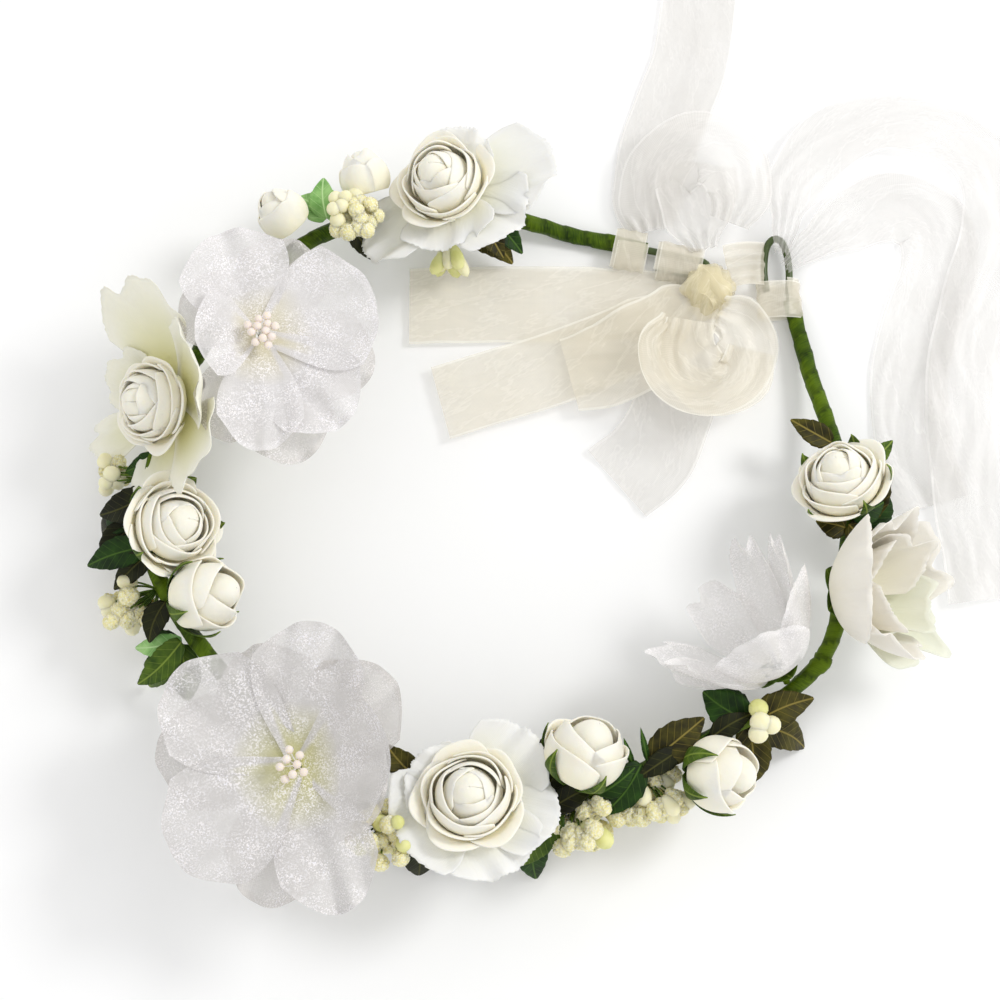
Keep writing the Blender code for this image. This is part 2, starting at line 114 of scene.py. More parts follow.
class Shape:
    """One piece's points in millimetres, faces, UVs in metres across and along, and shade values."""

    def __init__(self):
        self.points, self.faces, self.uvs, self.shades, self.kinds = [], [], [], [], []

    def patch(self, rows, columns, place, kind=0, closed=False):
        """A grid from place(u across, v along), from 0 to 1, which gives a point, its UV and its shade."""
        start = len(self.points)
        for i in range(rows + 1):
            for j in range(columns + 1):
                point, uv, shade = place(j / columns, i / rows)
                self.points.append(Vector(point))
                self.uvs.append(uv)
                self.shades.append(shade)
        stride = columns + 1
        for i in range(rows):
            for j in range(columns):
                a = start + i * stride + j
                self.faces.append((a, a + 1, a + stride + 1, a + stride))
                self.kinds.append(kind)
        if closed:
            self.seal(start, rows, columns)

    def seal(self, start, rows, columns):
        """Joins a round patch's last column to its first and closes its two ends."""
        stride = columns + 1
        weld = {start + i * stride + columns: start + i * stride for i in range(rows + 1)}
        self.faces = [tuple(weld.get(k, k) for k in face) for face in self.faces]
        last, kind = start + rows * stride, self.kinds[-1]
        self.faces.append(tuple(start + j for j in reversed(range(columns))))
        self.faces.append(tuple(last + j for j in range(columns)))
        self.kinds += [kind, kind]

    def keep_above(self, level):
        """Raises the points that are lower than a level."""
        for point in self.points:
            point.z = max(point.z, level)

    def build(self, name, materials, matrix=None, thickness=0.0, smooth=0):
        """The piece's object, thickened into a closed shell and subdivided if asked."""
        mesh = bpy.data.meshes.new(name)
        turn = matrix or Matrix.Identity(4)
        mesh.from_pydata([turn @ (p * MM) for p in self.points], [], self.faces)
        for material in materials:
            mesh.materials.append(material)
        mesh.polygons.foreach_set("material_index", self.kinds)
        shade = mesh.attributes.new("shade", "FLOAT", "POINT")
        shade.data.foreach_set("value", self.shades)
        layer = mesh.uv_layers.new(name="UVMap")
        corners = [self.uvs[loop.vertex_index] for loop in mesh.loops]
        layer.data.foreach_set("uv", [value for uv in corners for value in uv])
        loose = set(range(len(self.points))) - {k for face in self.faces for k in face}
        obj = new_object(name, mesh)
        if loose:
            drop_points(mesh, loose)
        mesh.shade_smooth()
        if thickness:
            shell = obj.modifiers.new("thickness", "SOLIDIFY")
            shell.thickness = thickness * MM
            shell.offset = 0
        if smooth:
            rounder = obj.modifiers.new("round", "SUBSURF")
            rounder.levels = rounder.render_levels = smooth
        return obj


def around(out, angle, rise):
    """A point at a distance out from the upright axis, in a direction, at a height."""
    return Vector((out * cos(angle), out * sin(angle), rise))


def new_object(name, data):
    """An object that is linked to the scene."""
    obj = bpy.data.objects.new(name, data)
    bpy.context.scene.collection.objects.link(obj)
    return obj


def drop_points(mesh, loose):
    """Removes the points that no face uses."""
    work = bmesh.new()
    work.from_mesh(mesh)
    work.verts.ensure_lookup_table()
    bmesh.ops.delete(work, geom=[work.verts[k] for k in loose], context="VERTS")
    work.to_mesh(mesh)
    work.free()


def settle(obj, slot, *nodes):
    """Puts a piece on its nodes' body in the nodes' place. The slot is not used."""
    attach(obj, BODY[nodes[0]])
    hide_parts(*nodes)
    return obj


def add_on(obj, body):
    """Puts a piece that stands for no node on a body."""
    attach(obj, body)
    return obj


def smooth_line(points, step):
    """Points about a step apart on a smooth curve through the given ones."""
    ends = [Vector(points[0]) * 2 - Vector(points[1])] + [Vector(p) for p in points]
    ends.append(Vector(points[-1]) * 2 - Vector(points[-2]))
    line = []
    for a, b, c, d in zip(ends, ends[1:], ends[2:], ends[3:]):
        count = max(1, round((c - b).length / step))
        for i in range(count):
            t = i / count
            bend = (c - a) * t + (a * 2 - b * 5 + c * 4 - d) * t**2 + (b * 3 - a - c * 3 + d) * t**3
            line.append(b + bend / 2)
    line.append(Vector(points[-1]))
    return line


def tangents(line):
    last = len(line) - 1
    return [(line[min(i + 1, last)] - line[max(i - 1, 0)]).normalized() for i in range(len(line))]


def carried_frames(line):
    """Pairs of cross directions along a line, the first level where it can be, carried on without twist."""
    ahead = tangents(line)
    side = ahead[0].cross(UP)
    side = side if side.length > 0.1 else Vector((1, 0, 0))
    frames = []
    for direction in ahead:
        side = (side - direction * side.dot(direction)).normalized()
        frames.append((side, side.cross(direction)))
    return frames


def lengths(line):
    """The distance along a line at each of its points."""
    total = [0.0]
    for a, b in zip(line, line[1:]):
        total.append(total[-1] + (b - a).length)
    return total


def tube(shape, line, radius, sides=10, kind=0):
    """A round closed rod along a line; radius is a number or radius(share along, turn, distance)."""
    frames, along = carried_frames(line), lengths(line)
    rows = len(line) - 1

    def place(u, v):
        k = round(v * rows)
        turn = 2 * pi * u
        size = radius(v, turn, along[k]) if callable(radius) else radius
        side, over = frames[k]
        point = line[k] + (side * cos(turn) + over * sin(turn)) * size
        return point, (turn * size * MM, along[k] * MM), 1.0

    shape.patch(rows, sides, place, kind, closed=True)


def bend_between(start, end, pull, steps=8):
    """Points from start to end that leave along pull and curve over."""
    middle = start + pull
    shares = [i / steps for i in range(steps + 1)]
    return [start * (1 - t) ** 2 + middle * 2 * t * (1 - t) + end * t**2 for t in shares]


# ---- places from the frame ----


def cloud(node):
    """A node's different points, in millimetres."""
    points = np.array([v.co for v in frame["nodes"][node].data.vertices], float)
    return np.unique(np.round(points, 6), axis=0) / MM


def pose_of(node, below):
    """A round node's frame, with +Z out of its base away from the node below, its radius and its height."""
    points, under = cloud(node), cloud(below)
    middle = points.mean(0)
    spreads, axes = np.linalg.eigh(np.cov((points - middle).T))
    axis = axes[:, 0 if spreads[1] - spreads[0] > spreads[2] - spreads[1] else 2]
    nearest = under[np.argmin(np.linalg.norm(under - middle, axis=1))]
    if axis @ (middle - nearest) < 0:
        axis = -axis
    rises = (points - middle) @ axis
    radius = np.linalg.norm(points - middle - np.outer(rises, axis), axis=1).max()
    return facing_frame(Vector(middle + axis * rises.min()), Vector(axis)), radius, rises.max() - rises.min()


def shifted_pose(node, shift):
    """The frame of a flower on the main band, moved across its axis by a shift in millimetres."""
    return pose_of(node, "tape_wrap_main")[0] @ Matrix.Translation(Vector((*shift, 0)) * MM)


def facing_frame(base, axis):
    """A frame at a point in millimetres with +Z along axis and +X as near to the world's +X as it can be."""
    across = (Vector((1, 0, 0)) - axis * axis.x).normalized()
    turn = Matrix((across, axis.cross(across), axis)).transposed().to_4x4()
    return Matrix.Translation(base * MM) @ turn


# ---- materials ----


def add(tree, kind, inputs=None, **settings):
    """A node with its settings, and each input linked to a socket or set to a value."""
    node = tree.nodes.new(kind)
    for key, value in settings.items():
        setattr(node, key, value)
    for key, value in (inputs or {}).items():
        if isinstance(value, bpy.types.NodeSocket):
            tree.links.new(value, node.inputs[key])
        else:
            node.inputs[key].default_value = value
    return node


def maths(tree, operation, a, b=0.0, clamp=False):
    return add(tree, "ShaderNodeMath", {0: a, 1: b}, operation=operation, use_clamp=clamp).outputs[0]


def spread(tree, value, low, high, to_low=0.0, to_high=1.0):
    inputs = {"Value": value, "From Min": low, "From Max": high, "To Min": to_low, "To Max": to_high}
    return add(tree, "ShaderNodeMapRange", inputs).outputs["Result"]


def blend_colours(tree, share, a, b):
    a, b = ((*value, 1) if isinstance(value, tuple) else value for value in (a, b))
    return add(tree, "ShaderNodeMix", {0: share, 6: a, 7: b}, data_type="RGBA").outputs[2]


def start_material(name, roughness, **values):
    """A new Principled material with uniform values set on the shader's own sockets."""
    made = bpy.data.materials.new(name)
    made.use_nodes = True
    shader = made.node_tree.nodes["Principled BSDF"]
    shader.inputs["Roughness"].default_value = roughness
    shader.inputs["Subsurface Scale"].default_value = 1.0
    for key, value in values.items():
        shader.inputs[key.replace("_", " ")].default_value = value
    return made, made.node_tree, shader


def link(tree, shader, **sockets):
    for key, socket in sockets.items():
        tree.links.new(socket, shader.inputs[key.replace("_", " ")])


def object_coords(tree):
    return add(tree, "ShaderNodeTexCoord").outputs["Object"]


def uv_parts(tree):
    parts = add(tree, "ShaderNodeSeparateXYZ", {0: add(tree, "ShaderNodeTexCoord").outputs["UV"]})
    return parts.outputs[0], parts.outputs[1]


def shade_value(tree):
    return add(tree, "ShaderNodeAttribute", attribute_name="shade").outputs["Fac"]


def noise_value(tree, scale, detail=2.0, vector=None, roughness=0.5):
    inputs = {"Vector": vector or object_coords(tree), "Scale": scale, "Detail": detail}
    return add(tree, "ShaderNodeTexNoise", {**inputs, "Roughness": roughness}).outputs["Fac"]


def cells(tree, scale, output="Distance"):
    return add(tree, "ShaderNodeTexVoronoi", {"Vector": object_coords(tree), "Scale": scale}).outputs[output]


def drawn_out(tree, fine, long, share):
    """Coordinates stretched one way, so that noise on them runs in streaks."""
    slow = maths(tree, "MULTIPLY", long, share)
    return add(tree, "ShaderNodeCombineXYZ", {0: fine, 1: slow}).outputs[0]


def stripes(tree, value):
    """Ridges that run from 0 to 1 and back as a value goes up by pi."""
    return maths(tree, "ABSOLUTE", maths(tree, "SINE", value))


def clouded(tree, cloud, colour, darkening):
    """A colour that darkens a little where a noise value is high."""
    return blend_colours(tree, cloud, colour, tuple(channel * darkening for channel in colour))


def weave(tree, pitch):
    """Crossed threads along the UVs, a pitch apart in metres, from 0 in the gaps to 1 on the threads."""
    rows = [stripes(tree, maths(tree, "MULTIPLY", way, pi / pitch)) for way in uv_parts(tree)]
    return maths(tree, "MAXIMUM", *rows)


def bump(tree, height, strength, distance, normal=None):
    inputs = {"Height": height, "Strength": strength, "Distance": distance}
    if normal:
        inputs["Normal"] = normal
    return add(tree, "ShaderNodeBump", inputs).outputs["Normal"]


def foam_material():
    """Soft closed-cell foam with painted shade: a deeper, yellower cream painted down between the petals,
    paler at the rims.
    """
    made, tree, shader = start_material(
        "rose_foam", 0.65, Subsurface_Weight=0.35, Subsurface_Radius=(0.0012, 0.0010, 0.0007),
        Specular_IOR_Level=0.25,
    )
    patches = spread(tree, noise_value(tree, 160), 0.3, 0.7, 0, 0.4)
    rim = blend_colours(tree, patches, (0.92, 0.89, 0.80), (0.91, 0.865, 0.72))
    # Painted shade: where the shade value is low, down between the petals, this deeper cream stands in for
    # their shade.
    colour = blend_colours(tree, shade_value(tree), (0.97, 0.90, 0.66), rim)
    grain = bump(tree, noise_value(tree, 3200, 3), 0.22, 0.0002)
    link(tree, shader, Base_Color=colour, Normal=bump(tree, noise_value(tree, 420), 0.2, 0.0007, grain))
    return made


def silk_material(name, throat, rim):
    """Woven petal silk, tinted in the throat, with fine creases that run out to the rim."""
    made, tree, shader = start_material(
        name, 0.6, Subsurface_Weight=0.35, Subsurface_Radius=(0.0012, 0.0011, 0.0009),
        Specular_IOR_Level=0.25,
    )
    creases = noise_value(tree, 900, 3, drawn_out(tree, *uv_parts(tree), 0.12))
    blade = clouded(tree, spread(tree, noise_value(tree, 120), 0.35, 0.7, 0, 0.4), rim, 0.93)
    colour = blend_colours(tree, spread(tree, shade_value(tree), 0.05, 0.88), throat, blade)
    cloth = bump(tree, weave(tree, 0.00045), 0.3, 0.0001)
    link(tree, shader, Base_Color=colour, Normal=bump(tree, creases, 0.35, 0.0005, cloth))
    return made


def sheer_material(name, base, alpha, glitter, throat):
    """Organza with glitter: see-through between its threads, denser in the hem, with fine glitter flakes
    whose pale colour is partly their own and partly painted glint.
    """
    made, tree, shader = start_material(name, 0.5, Specular_IOR_Level=0.4)
    flakes = cells(tree, 2800, "Color")
    picked = add(tree, "ShaderNodeSeparateColor", {0: flakes})
    thick = spread(tree, noise_value(tree, 110), 0.3, 0.65, 0, glitter)
    # Glitter flakes: denser and smoother, and painted pale, partly their own colour and partly painted glint.
    flakes_and_glint = maths(tree, "MULTIPLY", spread(tree, picked.outputs[0], 0.45, 1.0), thick, True)
    hue = blend_colours(tree, picked.outputs[1], (0.94, 0.93, 1.0), (1.0, 0.95, 0.93))
    shade = shade_value(tree)
    cloth = clouded(tree, spread(tree, noise_value(tree, 200, 3), 0.3, 0.75), base, 0.94)
    tinted = blend_colours(tree, spread(tree, shade, 0.02, 0.42), throat, cloth)
    threads = weave(tree, 0.0005)
    hem = spread(tree, shade, 0.93, 0.97)
    clear = maths(tree, "ADD", spread(tree, threads, 0.3, 1, alpha - 0.05, alpha + 0.05),
                  maths(tree, "MULTIPLY", hem, 0.18))
    fading = maths(tree, "SUBTRACT", clear, spread(tree, shade, 0.4, 0.92, 0, 0.14))
    seen = maths(tree, "ADD", fading, maths(tree, "MULTIPLY", flakes_and_glint, 0.5), True)
    facets = bump(tree, picked.outputs[2], 0.35, 0.00015, bump(tree, threads, 0.2, 0.0001))
    rough = spread(tree, flakes_and_glint, 0, 1, 0.5, 0.15)
    link(tree, shader, Base_Color=blend_colours(tree, flakes_and_glint, tinted, hue), Alpha=seen, Normal=facets,
         Roughness=rough)
    return made


def ribbon_material(name, cream, edge_colour, cover):
    """Organza ribbon: fine crossed threads, satin selvedges and thin creases along it, a little denser, with
    painted highlight on them.
    """
    made, tree, shader = start_material(name, 0.4, Specular_IOR_Level=0.5, Sheen_Weight=0.15)
    shade = shade_value(tree)
    edge = spread(tree, shade, 0.93, 0.96)
    threads = weave(tree, 0.0004)
    across, along = uv_parts(tree)
    leaned = maths(tree, "ADD", across, maths(tree, "MULTIPLY", along, 0.25))
    creases = noise_value(tree, 95, 4, drawn_out(tree, leaned, along, 0.35), 0.62)
    crease_and_shine = spread(tree, maths(tree, "ABSOLUTE", maths(tree, "SUBTRACT", creases, 0.5)), 0.0, 0.035, 1, 0)
    cloudy = spread(tree, noise_value(tree, 45, 3), 0.35, 0.65, -0.06, 0.08)
    body = maths(tree, "ADD", spread(tree, threads, 0.2, 1, cover - 0.04, cover + 0.04), cloudy)
    lined = maths(tree, "ADD", body, maths(tree, "MULTIPLY", crease_and_shine, 0.06))
    alpha = maths(tree, "ADD", lined, maths(tree, "MULTIPLY", edge, 0.12), True)
    # Painted highlight: the creases are painted paler, towards the selvedge colour, where their shine would
    # be.
    paler = blend_colours(tree, maths(tree, "MULTIPLY", crease_and_shine, 0.3), cream, edge_colour)
    colour = blend_colours(tree, edge, paler, edge_colour)
    folds = bump(tree, creases, 0.35, 0.0010, bump(tree, threads, 0.15, 0.0001))
    link(tree, shader, Base_Color=colour, Alpha=alpha, Normal=folds)
    return made


def berry_material(name, low, high, grain):
    """Sugared or smooth berry skin, paler on top of its grains."""
    made, tree, shader = start_material(
        name, 0.5, Subsurface_Weight=0.4, Subsurface_Radius=(0.002, 0.0018, 0.001), Specular_IOR_Level=0.3,
    )
    lumps = cells(tree, 1500)
    speckle = spread(tree, lumps, 0.25, 0.7, 1, 0) if grain else noise_value(tree, 300)
    colour = blend_colours(tree, maths(tree, "MULTIPLY", speckle, shade_value(tree), True), low, high)
    link(tree, shader, Base_Color=colour, Normal=bump(tree, speckle, 0.5 if grain else 0.1, 0.0005))
    return made


def leaf_material(name, dark, light, vein):
    """Printed leaf fabric: a midrib, side veins that lean forward, blotches and a fine weave."""
    made, tree, shader = start_material(name, 0.5, Specular_IOR_Level=0.18)
    across, along = uv_parts(tree)
    out = maths(tree, "ABSOLUTE", across)
    lean = maths(tree, "SUBTRACT", along, maths(tree, "MULTIPLY", out, 0.9))
    side_veins = spread(tree, stripes(tree, maths(tree, "MULTIPLY", lean, pi / 0.0028)), 0.0, 0.22, 0.55, 0)
    veins = maths(tree, "MAXIMUM", side_veins, spread(tree, out, 0.0001, 0.0004, 1, 0))
    blotches = spread(tree, noise_value(tree, 240, 3), 0.35, 0.65)
    fabric = blend_colours(tree, maths(tree, "MULTIPLY", blotches, shade_value(tree), True), dark, light)
    colour = blend_colours(tree, veins, fabric, vein)
    cloth = bump(tree, weave(tree, 0.0004), 0.25, 0.0001)
    link(tree, shader, Base_Color=colour, Normal=bump(tree, veins, 0.5, 0.0003, cloth))
    return made


def tape_material():
    """Waxed crepe tape: fine wrinkles along the wrap, with painted highlight on the wrinkles and painted
    shade at each lap.
    """
    made, tree, shader = start_material("floral_tape_crepe", 0.5, Specular_IOR_Level=0.12)
    across, along = uv_parts(tree)
    turned = maths(tree, "ADD", maths(tree, "MULTIPLY", along, 3), across)
    crepe = noise_value(tree, 900, 3, drawn_out(tree, turned, across, 0.3))
    patches = spread(tree, noise_value(tree, 70, 2), 0.38, 0.62)
    green = blend_colours(tree, patches, (0.010, 0.034, 0.001), (0.085, 0.140, 0.003))
    # Painted highlight: the wrinkles are painted up to half way towards a lighter green.
    lit = blend_colours(tree, spread(tree, crepe, 0.35, 0.75, 0, 0.5), green, (0.16, 0.26, 0.008))
    # Painted shade: the shade value darkens each turn where it laps over the last.
    colour = blend_colours(tree, shade_value(tree), (0.010, 0.020, 0.002), lit)
    link(tree, shader, Base_Color=colour, Normal=bump(tree, crepe, 0.5, 0.0004))
    return made


def wire_material():
    """Paper-covered wire, satin grey green with its fibres wound round it."""
    made, tree, shader = start_material("covered_wire", 0.36, Specular_IOR_Level=0.4)
    across, along = uv_parts(tree)
    wound = maths(tree, "ADD", maths(tree, "MULTIPLY", along, 2200), maths(tree, "MULTIPLY", across, 900))
    colour = blend_colours(tree, noise_value(tree, 300), (0.035, 0.060, 0.012), (0.085, 0.125, 0.035))
    link(tree, shader, Base_Color=colour, Normal=bump(tree, stripes(tree, wound), 0.15, 0.0001))
    return made


FOAM = foam_material()
WHITE_SILK = silk_material("petal_silk_white", (0.86, 0.86, 0.66), (0.89, 0.885, 0.85))
GREEN_SILK = silk_material("petal_silk_green", (0.58, 0.56, 0.18), (0.92, 0.90, 0.76))
CREAM_SILK = silk_material("petal_silk_cream", (0.83, 0.79, 0.58), (0.87, 0.83, 0.75))
TINTED_SILK = silk_material("petal_silk_tinted", (0.74, 0.76, 0.50), (0.80, 0.81, 0.68))
SHEER = sheer_material("sheer_organza_glitter", (0.68, 0.66, 0.645), 0.78, 0.85, (0.62, 0.60, 0.22))
SHEER_UNDER = sheer_material("sheer_organza_under", (0.66, 0.63, 0.60), 0.66, 0.6, (0.62, 0.60, 0.34))
SHEER_PALE = sheer_material("sheer_organza_pale", (0.79, 0.77, 0.765), 0.76, 0.85, (0.76, 0.70, 0.46))
SHEER_WHITE = sheer_material("sheer_organza_white", (0.88, 0.86, 0.85), 0.68, 0.5, (0.84, 0.80, 0.62))
CREAM_RIBBON = ribbon_material("cream_organza", (0.86, 0.80, 0.66), (0.93, 0.90, 0.80), 0.46)
PALE_RIBBON = ribbon_material("pale_organza", (0.81, 0.785, 0.745), (0.88, 0.86, 0.83), 0.40)
STREAMER_RIBBON = ribbon_material("streamer_organza", (0.83, 0.81, 0.78), (0.90, 0.88, 0.86), 0.36)
KNOT_RIBBON = ribbon_material("knot_organza", (0.90, 0.81, 0.54), (0.94, 0.89, 0.70), 0.40)
GRAIN_BERRY = berry_material("berry_sugared", (0.90, 0.82, 0.42), (0.98, 0.94, 0.72), True)
SMOOTH_BERRY = berry_material("berry_smooth", (0.84, 0.79, 0.46), (0.93, 0.90, 0.70), False)
GREEN_BERRY = berry_material("berry_green", (0.62, 0.64, 0.18), (0.88, 0.86, 0.48), False)
PEARL = berry_material("stamen_pearl", (0.80, 0.68, 0.60), (0.92, 0.84, 0.79), False)
DARK_LEAF = leaf_material("leaf_dark", (0.006, 0.007, 0.001), (0.020, 0.024, 0.003), (0.06, 0.06, 0.012))
OLIVE_LEAF = leaf_material("leaf_olive", (0.018, 0.016, 0.002), (0.085, 0.075, 0.008), (0.24, 0.19, 0.04))
GREEN_LEAF = leaf_material("leaf_green", (0.006, 0.022, 0.002), (0.022, 0.070, 0.005), (0.06, 0.13, 0.015))
LIGHT_LEAF = leaf_material("leaf_light", (0.16, 0.36, 0.09), (0.40, 0.66, 0.25), (0.50, 0.74, 0.34))
SEPAL = leaf_material("sepal_green", (0.025, 0.060, 0.004), (0.10, 0.17, 0.012), (0.20, 0.28, 0.04))
TAPE = tape_material()
WIRE = wire_material()


# ---- petals and flowers ----


# The foot of the dome that foam petals stand on, in degrees from its top.
ROSE_FOOT = 128
# Rings of foam petals from the outside in: count, shares of the rose's width and height, half angle and
# closing angle in degrees, and lift.
ROSE_LAYERS = [
    (5, 0.97, 0.76, 46, 86, 0.22), (4, 0.88, 0.86, 56, 68, 0.15), (4, 0.77, 0.94, 58, 54, 0.10),
    (3, 0.66, 0.98, 72, 44, 0.08), (3, 0.54, 1.02, 76, 33, 0.06),
]
BUD_LAYERS = [(3, 0.97, 0.93, 66, 58, 0.16), (3, 0.86, 1.00, 72, 38, 0.09)]
CLOSED_LAYERS = [(3, 0.98, 0.96, 74, 44, 0.06), (3, 0.84, 1.02, 78, 22, 0.03)]
CORE_SHARE = 0.45
BUD_CORE_SHARE = 0.56
FOAM_THICKNESS = 0.65
FRILL = 0.016


def dome_rise(height, polar):
    """How high a rose's dome is at an angle from its top."""
    foot = cos(radians(ROSE_FOOT))
    return height * (cos(polar) - foot) / (1 - foot)


def foam_petal(shape, turn, spread_angle, radius, height, close, lift, seed):
    """One foam petal that wraps the dome up to close, in degrees from its top, with a lifted rim."""
    draw = Random(seed)
    phase, lumps = draw.uniform(0, 2 * pi), draw.uniform(0.04, 0.10)
    first, last = radians(ROSE_FOOT), radians(close)

    def place(u, v):
        a = 2 * u - 1
        ripple = lumps * sin(2.6 * a + phase)
        frill = FRILL * (1 + 4 * lift) * sin(5.5 * a + 2 * phase) * v**3
        share = v * (1 - 0.26 * abs(a) ** 2.6)
        polar = first + (last - first) * share * (1 + ripple * 0.6)
        beyond = max(0, (share - 0.6) / 0.4)
        out = radius * (sin(polar) + lift * beyond**2 + ripple * share**2 + frill + 0.04 * a)
        rise = dome_rise(height, polar) * (1 + ripple * 0.5 + frill)
        angle = turn + a * spread_angle
        uv = (a * spread_angle * radius * MM, share * height * MM)
        # The shade value sets the painted shade: low at the petal's foot between the petals, rising to 1 at
        # its rim.
        return around(out, angle, rise), uv, min(1, 0.25 + share**1.5)

    shape.patch(10, 14, place)


def foam_core(shape, radius, height):
    """The closed heart of a foam rose, with the last petal's edge wound over it."""
    first = radians(ROSE_FOOT)

    def place(u, v):
        polar, angle = first * (1 - v), 2 * pi * u
        wound = 1 + 0.07 * ((u + 0.75 * v) % 1.0)
        out = radius * sin(polar) * wound
        rise = dome_rise(height, polar) * (0.97 + 0.03 * wound)
        # The shade value sets the painted shade: lower at the heart's foot, higher on its top.
        return around(out, angle, rise), (angle * radius * MM, rise * MM), 0.55 + 0.3 * v

    shape.patch(18, 36, place)


def foam_rose(node, below, layers, seed, size=1.0):
    """A foam rose in the place of its node."""
    matrix, radius, height = pose_of(node, below)
    shape, draw = Shape(), Random(seed)
    for ring, (count, wide, tall, degrees, close, lift) in enumerate(layers):
        first = draw.uniform(0, 2 * pi)
        for k in range(count):
            turn = first + 2 * pi * k / count + draw.uniform(-0.18, 0.18)
            broad = radius * size * wide * draw.uniform(0.95, 1.04)
            high = height * tall * draw.uniform(0.95, 1.03)
            shut = close + draw.uniform(-6, 6)
            foam_petal(shape, turn, radians(degrees), broad, high, shut, lift, seed * 100 + ring * 10 + k)
    core = CORE_SHARE if layers is ROSE_LAYERS else BUD_CORE_SHARE
    foam_core(shape, radius * size * core, height)
    obj = shape.build(node + "_foam", [FOAM], matrix, FOAM_THICKNESS, 1)
    return settle(obj, "foam", node)


TIP_ROUNDING = 0.30
SILK_THICKNESS = 0.22


def cloth_petal(shape, turn, reach, width, rise, seed, cup, wave, fray, neck, lift, tilt, rows, columns):
    """One cut cloth petal: a narrow neck, a broad rounded blade, a curved-up sweep and a waving rim.

    turn is its direction round the flower, tilt rolls it on its own length, and fray makes a torn rim.
    """
    base = 1.2
    draw = Random(seed)
    phases = [draw.uniform(0, 2 * pi) for _ in range(4)]
    torn = [draw.uniform(-1, 1) for _ in range(columns + 1)]

    def place(u, v):
        a = 2 * u - 1
        round_tip = 1 - TIP_ROUNDING * abs(a) ** 2.4
        share = v * round_tip * (1 + fray * torn[round(u * columns)] * max(0, v - 0.8) * 5 / reach)
        swell = sin(min(share / 0.62, 1) * pi / 2) ** 1.1
        half = width / 2 * (neck + (1 - neck) * swell) * (1 - 0.12 * max(0, share - 0.7) / 0.3)
        across = a * half * (1 + fray * 0.5 * torn[(round(v * rows) * 7) % columns] * abs(a) ** 8 / reach)
        ripple = sin(2.2 * pi * a + phases[0]) * share**2 + 0.6 * sin(3.6 * pi * a + phases[1]) * share**3
        length_wave = sin(2 * pi * share + phases[2]) * 0.4
        up = rise * share**1.7 + cup * width * a * a * share
        up += wave * reach * (ripple + length_wave * abs(a)) * 0.5 + across * tilt
        out = base + (reach - base) * share
        point = (out * cos(turn) - across * sin(turn), out * sin(turn) + across * cos(turn), lift + up)
        rim = max(v, abs(a) ** 3 * 0.96)
        return point, (across * MM, out * MM), rim

    shape.patch(rows, columns, place)


def deep_petal(shape, turn, reach, width, rise, seed, bend, wave, fray, kind):
    """One petal of a deep cup: it follows an arc from level at its foot to steep at its rim."""
    base, columns = 2.0, 56
    draw = Random(seed)
    phases = [draw.uniform(0, 2 * pi) for _ in range(3)]
    torn = [draw.uniform(-1, 1) for _ in range(columns + 1)]
    swing = radians(bend)

    def place(u, v):
        a = 2 * u - 1
        share = v * (1 - TIP_ROUNDING * abs(a) ** 2.4)
        share += fray * torn[round(u * columns)] * max(0, v - 0.85) / reach * 6
        wide = 0.32 + 0.68 * sin(min(share / 0.55, 1) * pi / 2)
        angle = turn + a * width / reach / 2 * wide ** 0.3
        ripple = sin(2.4 * pi * a + phases[0]) * share**2 + 0.6 * sin(4.2 * pi * a + phases[1]) * share**4
        ripple *= wave
        out = base + (reach - base) * sin(share * swing) / sin(swing) * (1 + ripple)
        up = rise * (1 - cos(share * swing)) / (1 - cos(swing)) * (1 + ripple * 0.6)
        out += 0.8 * a
        uv = (a * width / 2 * wide * MM, share * (reach + rise) * 0.8 * MM)
        return around(out, angle, up), uv, max(v, abs(a) ** 3 * 0.96)

    shape.patch(18, columns, place, kind)


def berry(shape, foot, tip, radius, kind, seed, grain=0.0, sides=12, rows=10):
    """One oval berry from foot to tip; grain raises sugar lumps on it."""
    line = [foot.lerp(tip, i / rows) for i in range(rows + 1)]

    def size(share, turn, _):
        waist = max(0.08, sqrt(max(0, 1 - (2 * share - 1) ** 2))) * (0.82 + 0.3 * share)
        spot = Vector((cos(turn) * 2.1, sin(turn) * 2.1, share * 5.2 + seed * 3.7))
        return radius * waist * (1 + grain * (0.6 - 2.4 * abs(noise.noise(spot * 1.35))))

    tube(shape, line, size, sides, kind)


STAMEN_COUNTS = {"front_sheer": 8, "left_sheer": 12}
STAMEN_TURN = 2.4
THREAD_RADIUS = 0.22
PEARL_RADIUS = 1.35


def stamen_bunch(name, shift, count, spread_radius, height):
    """Pearl stamens on thin white threads in the middle of a sheer flower."""
    matrix = shifted_pose(name + "_petals_upper", shift)
    shape = Shape()
    for k in range(count):
        turn = k * STAMEN_TURN
        far = spread_radius * sqrt((k + 0.4) / count)
        end = around(far, turn, height - 0.25 * far + (k % 3) * 0.5)
        thread = bend_between(UP * -2.5, end, UP * height * 0.6, 5)
        tube(shape, thread, THREAD_RADIUS, 6, 1)
        out = around(0.3, turn, 1).normalized()
        berry(shape, end - out * 0.5, end + out * 2.4, PEARL_RADIUS, 0, k, grain=0.06)
    obj = shape.build(name + "_pearls", [PEARL, WHITE_SILK], matrix, smooth=1)
    return settle(obj, "buds", name + "_stamens")


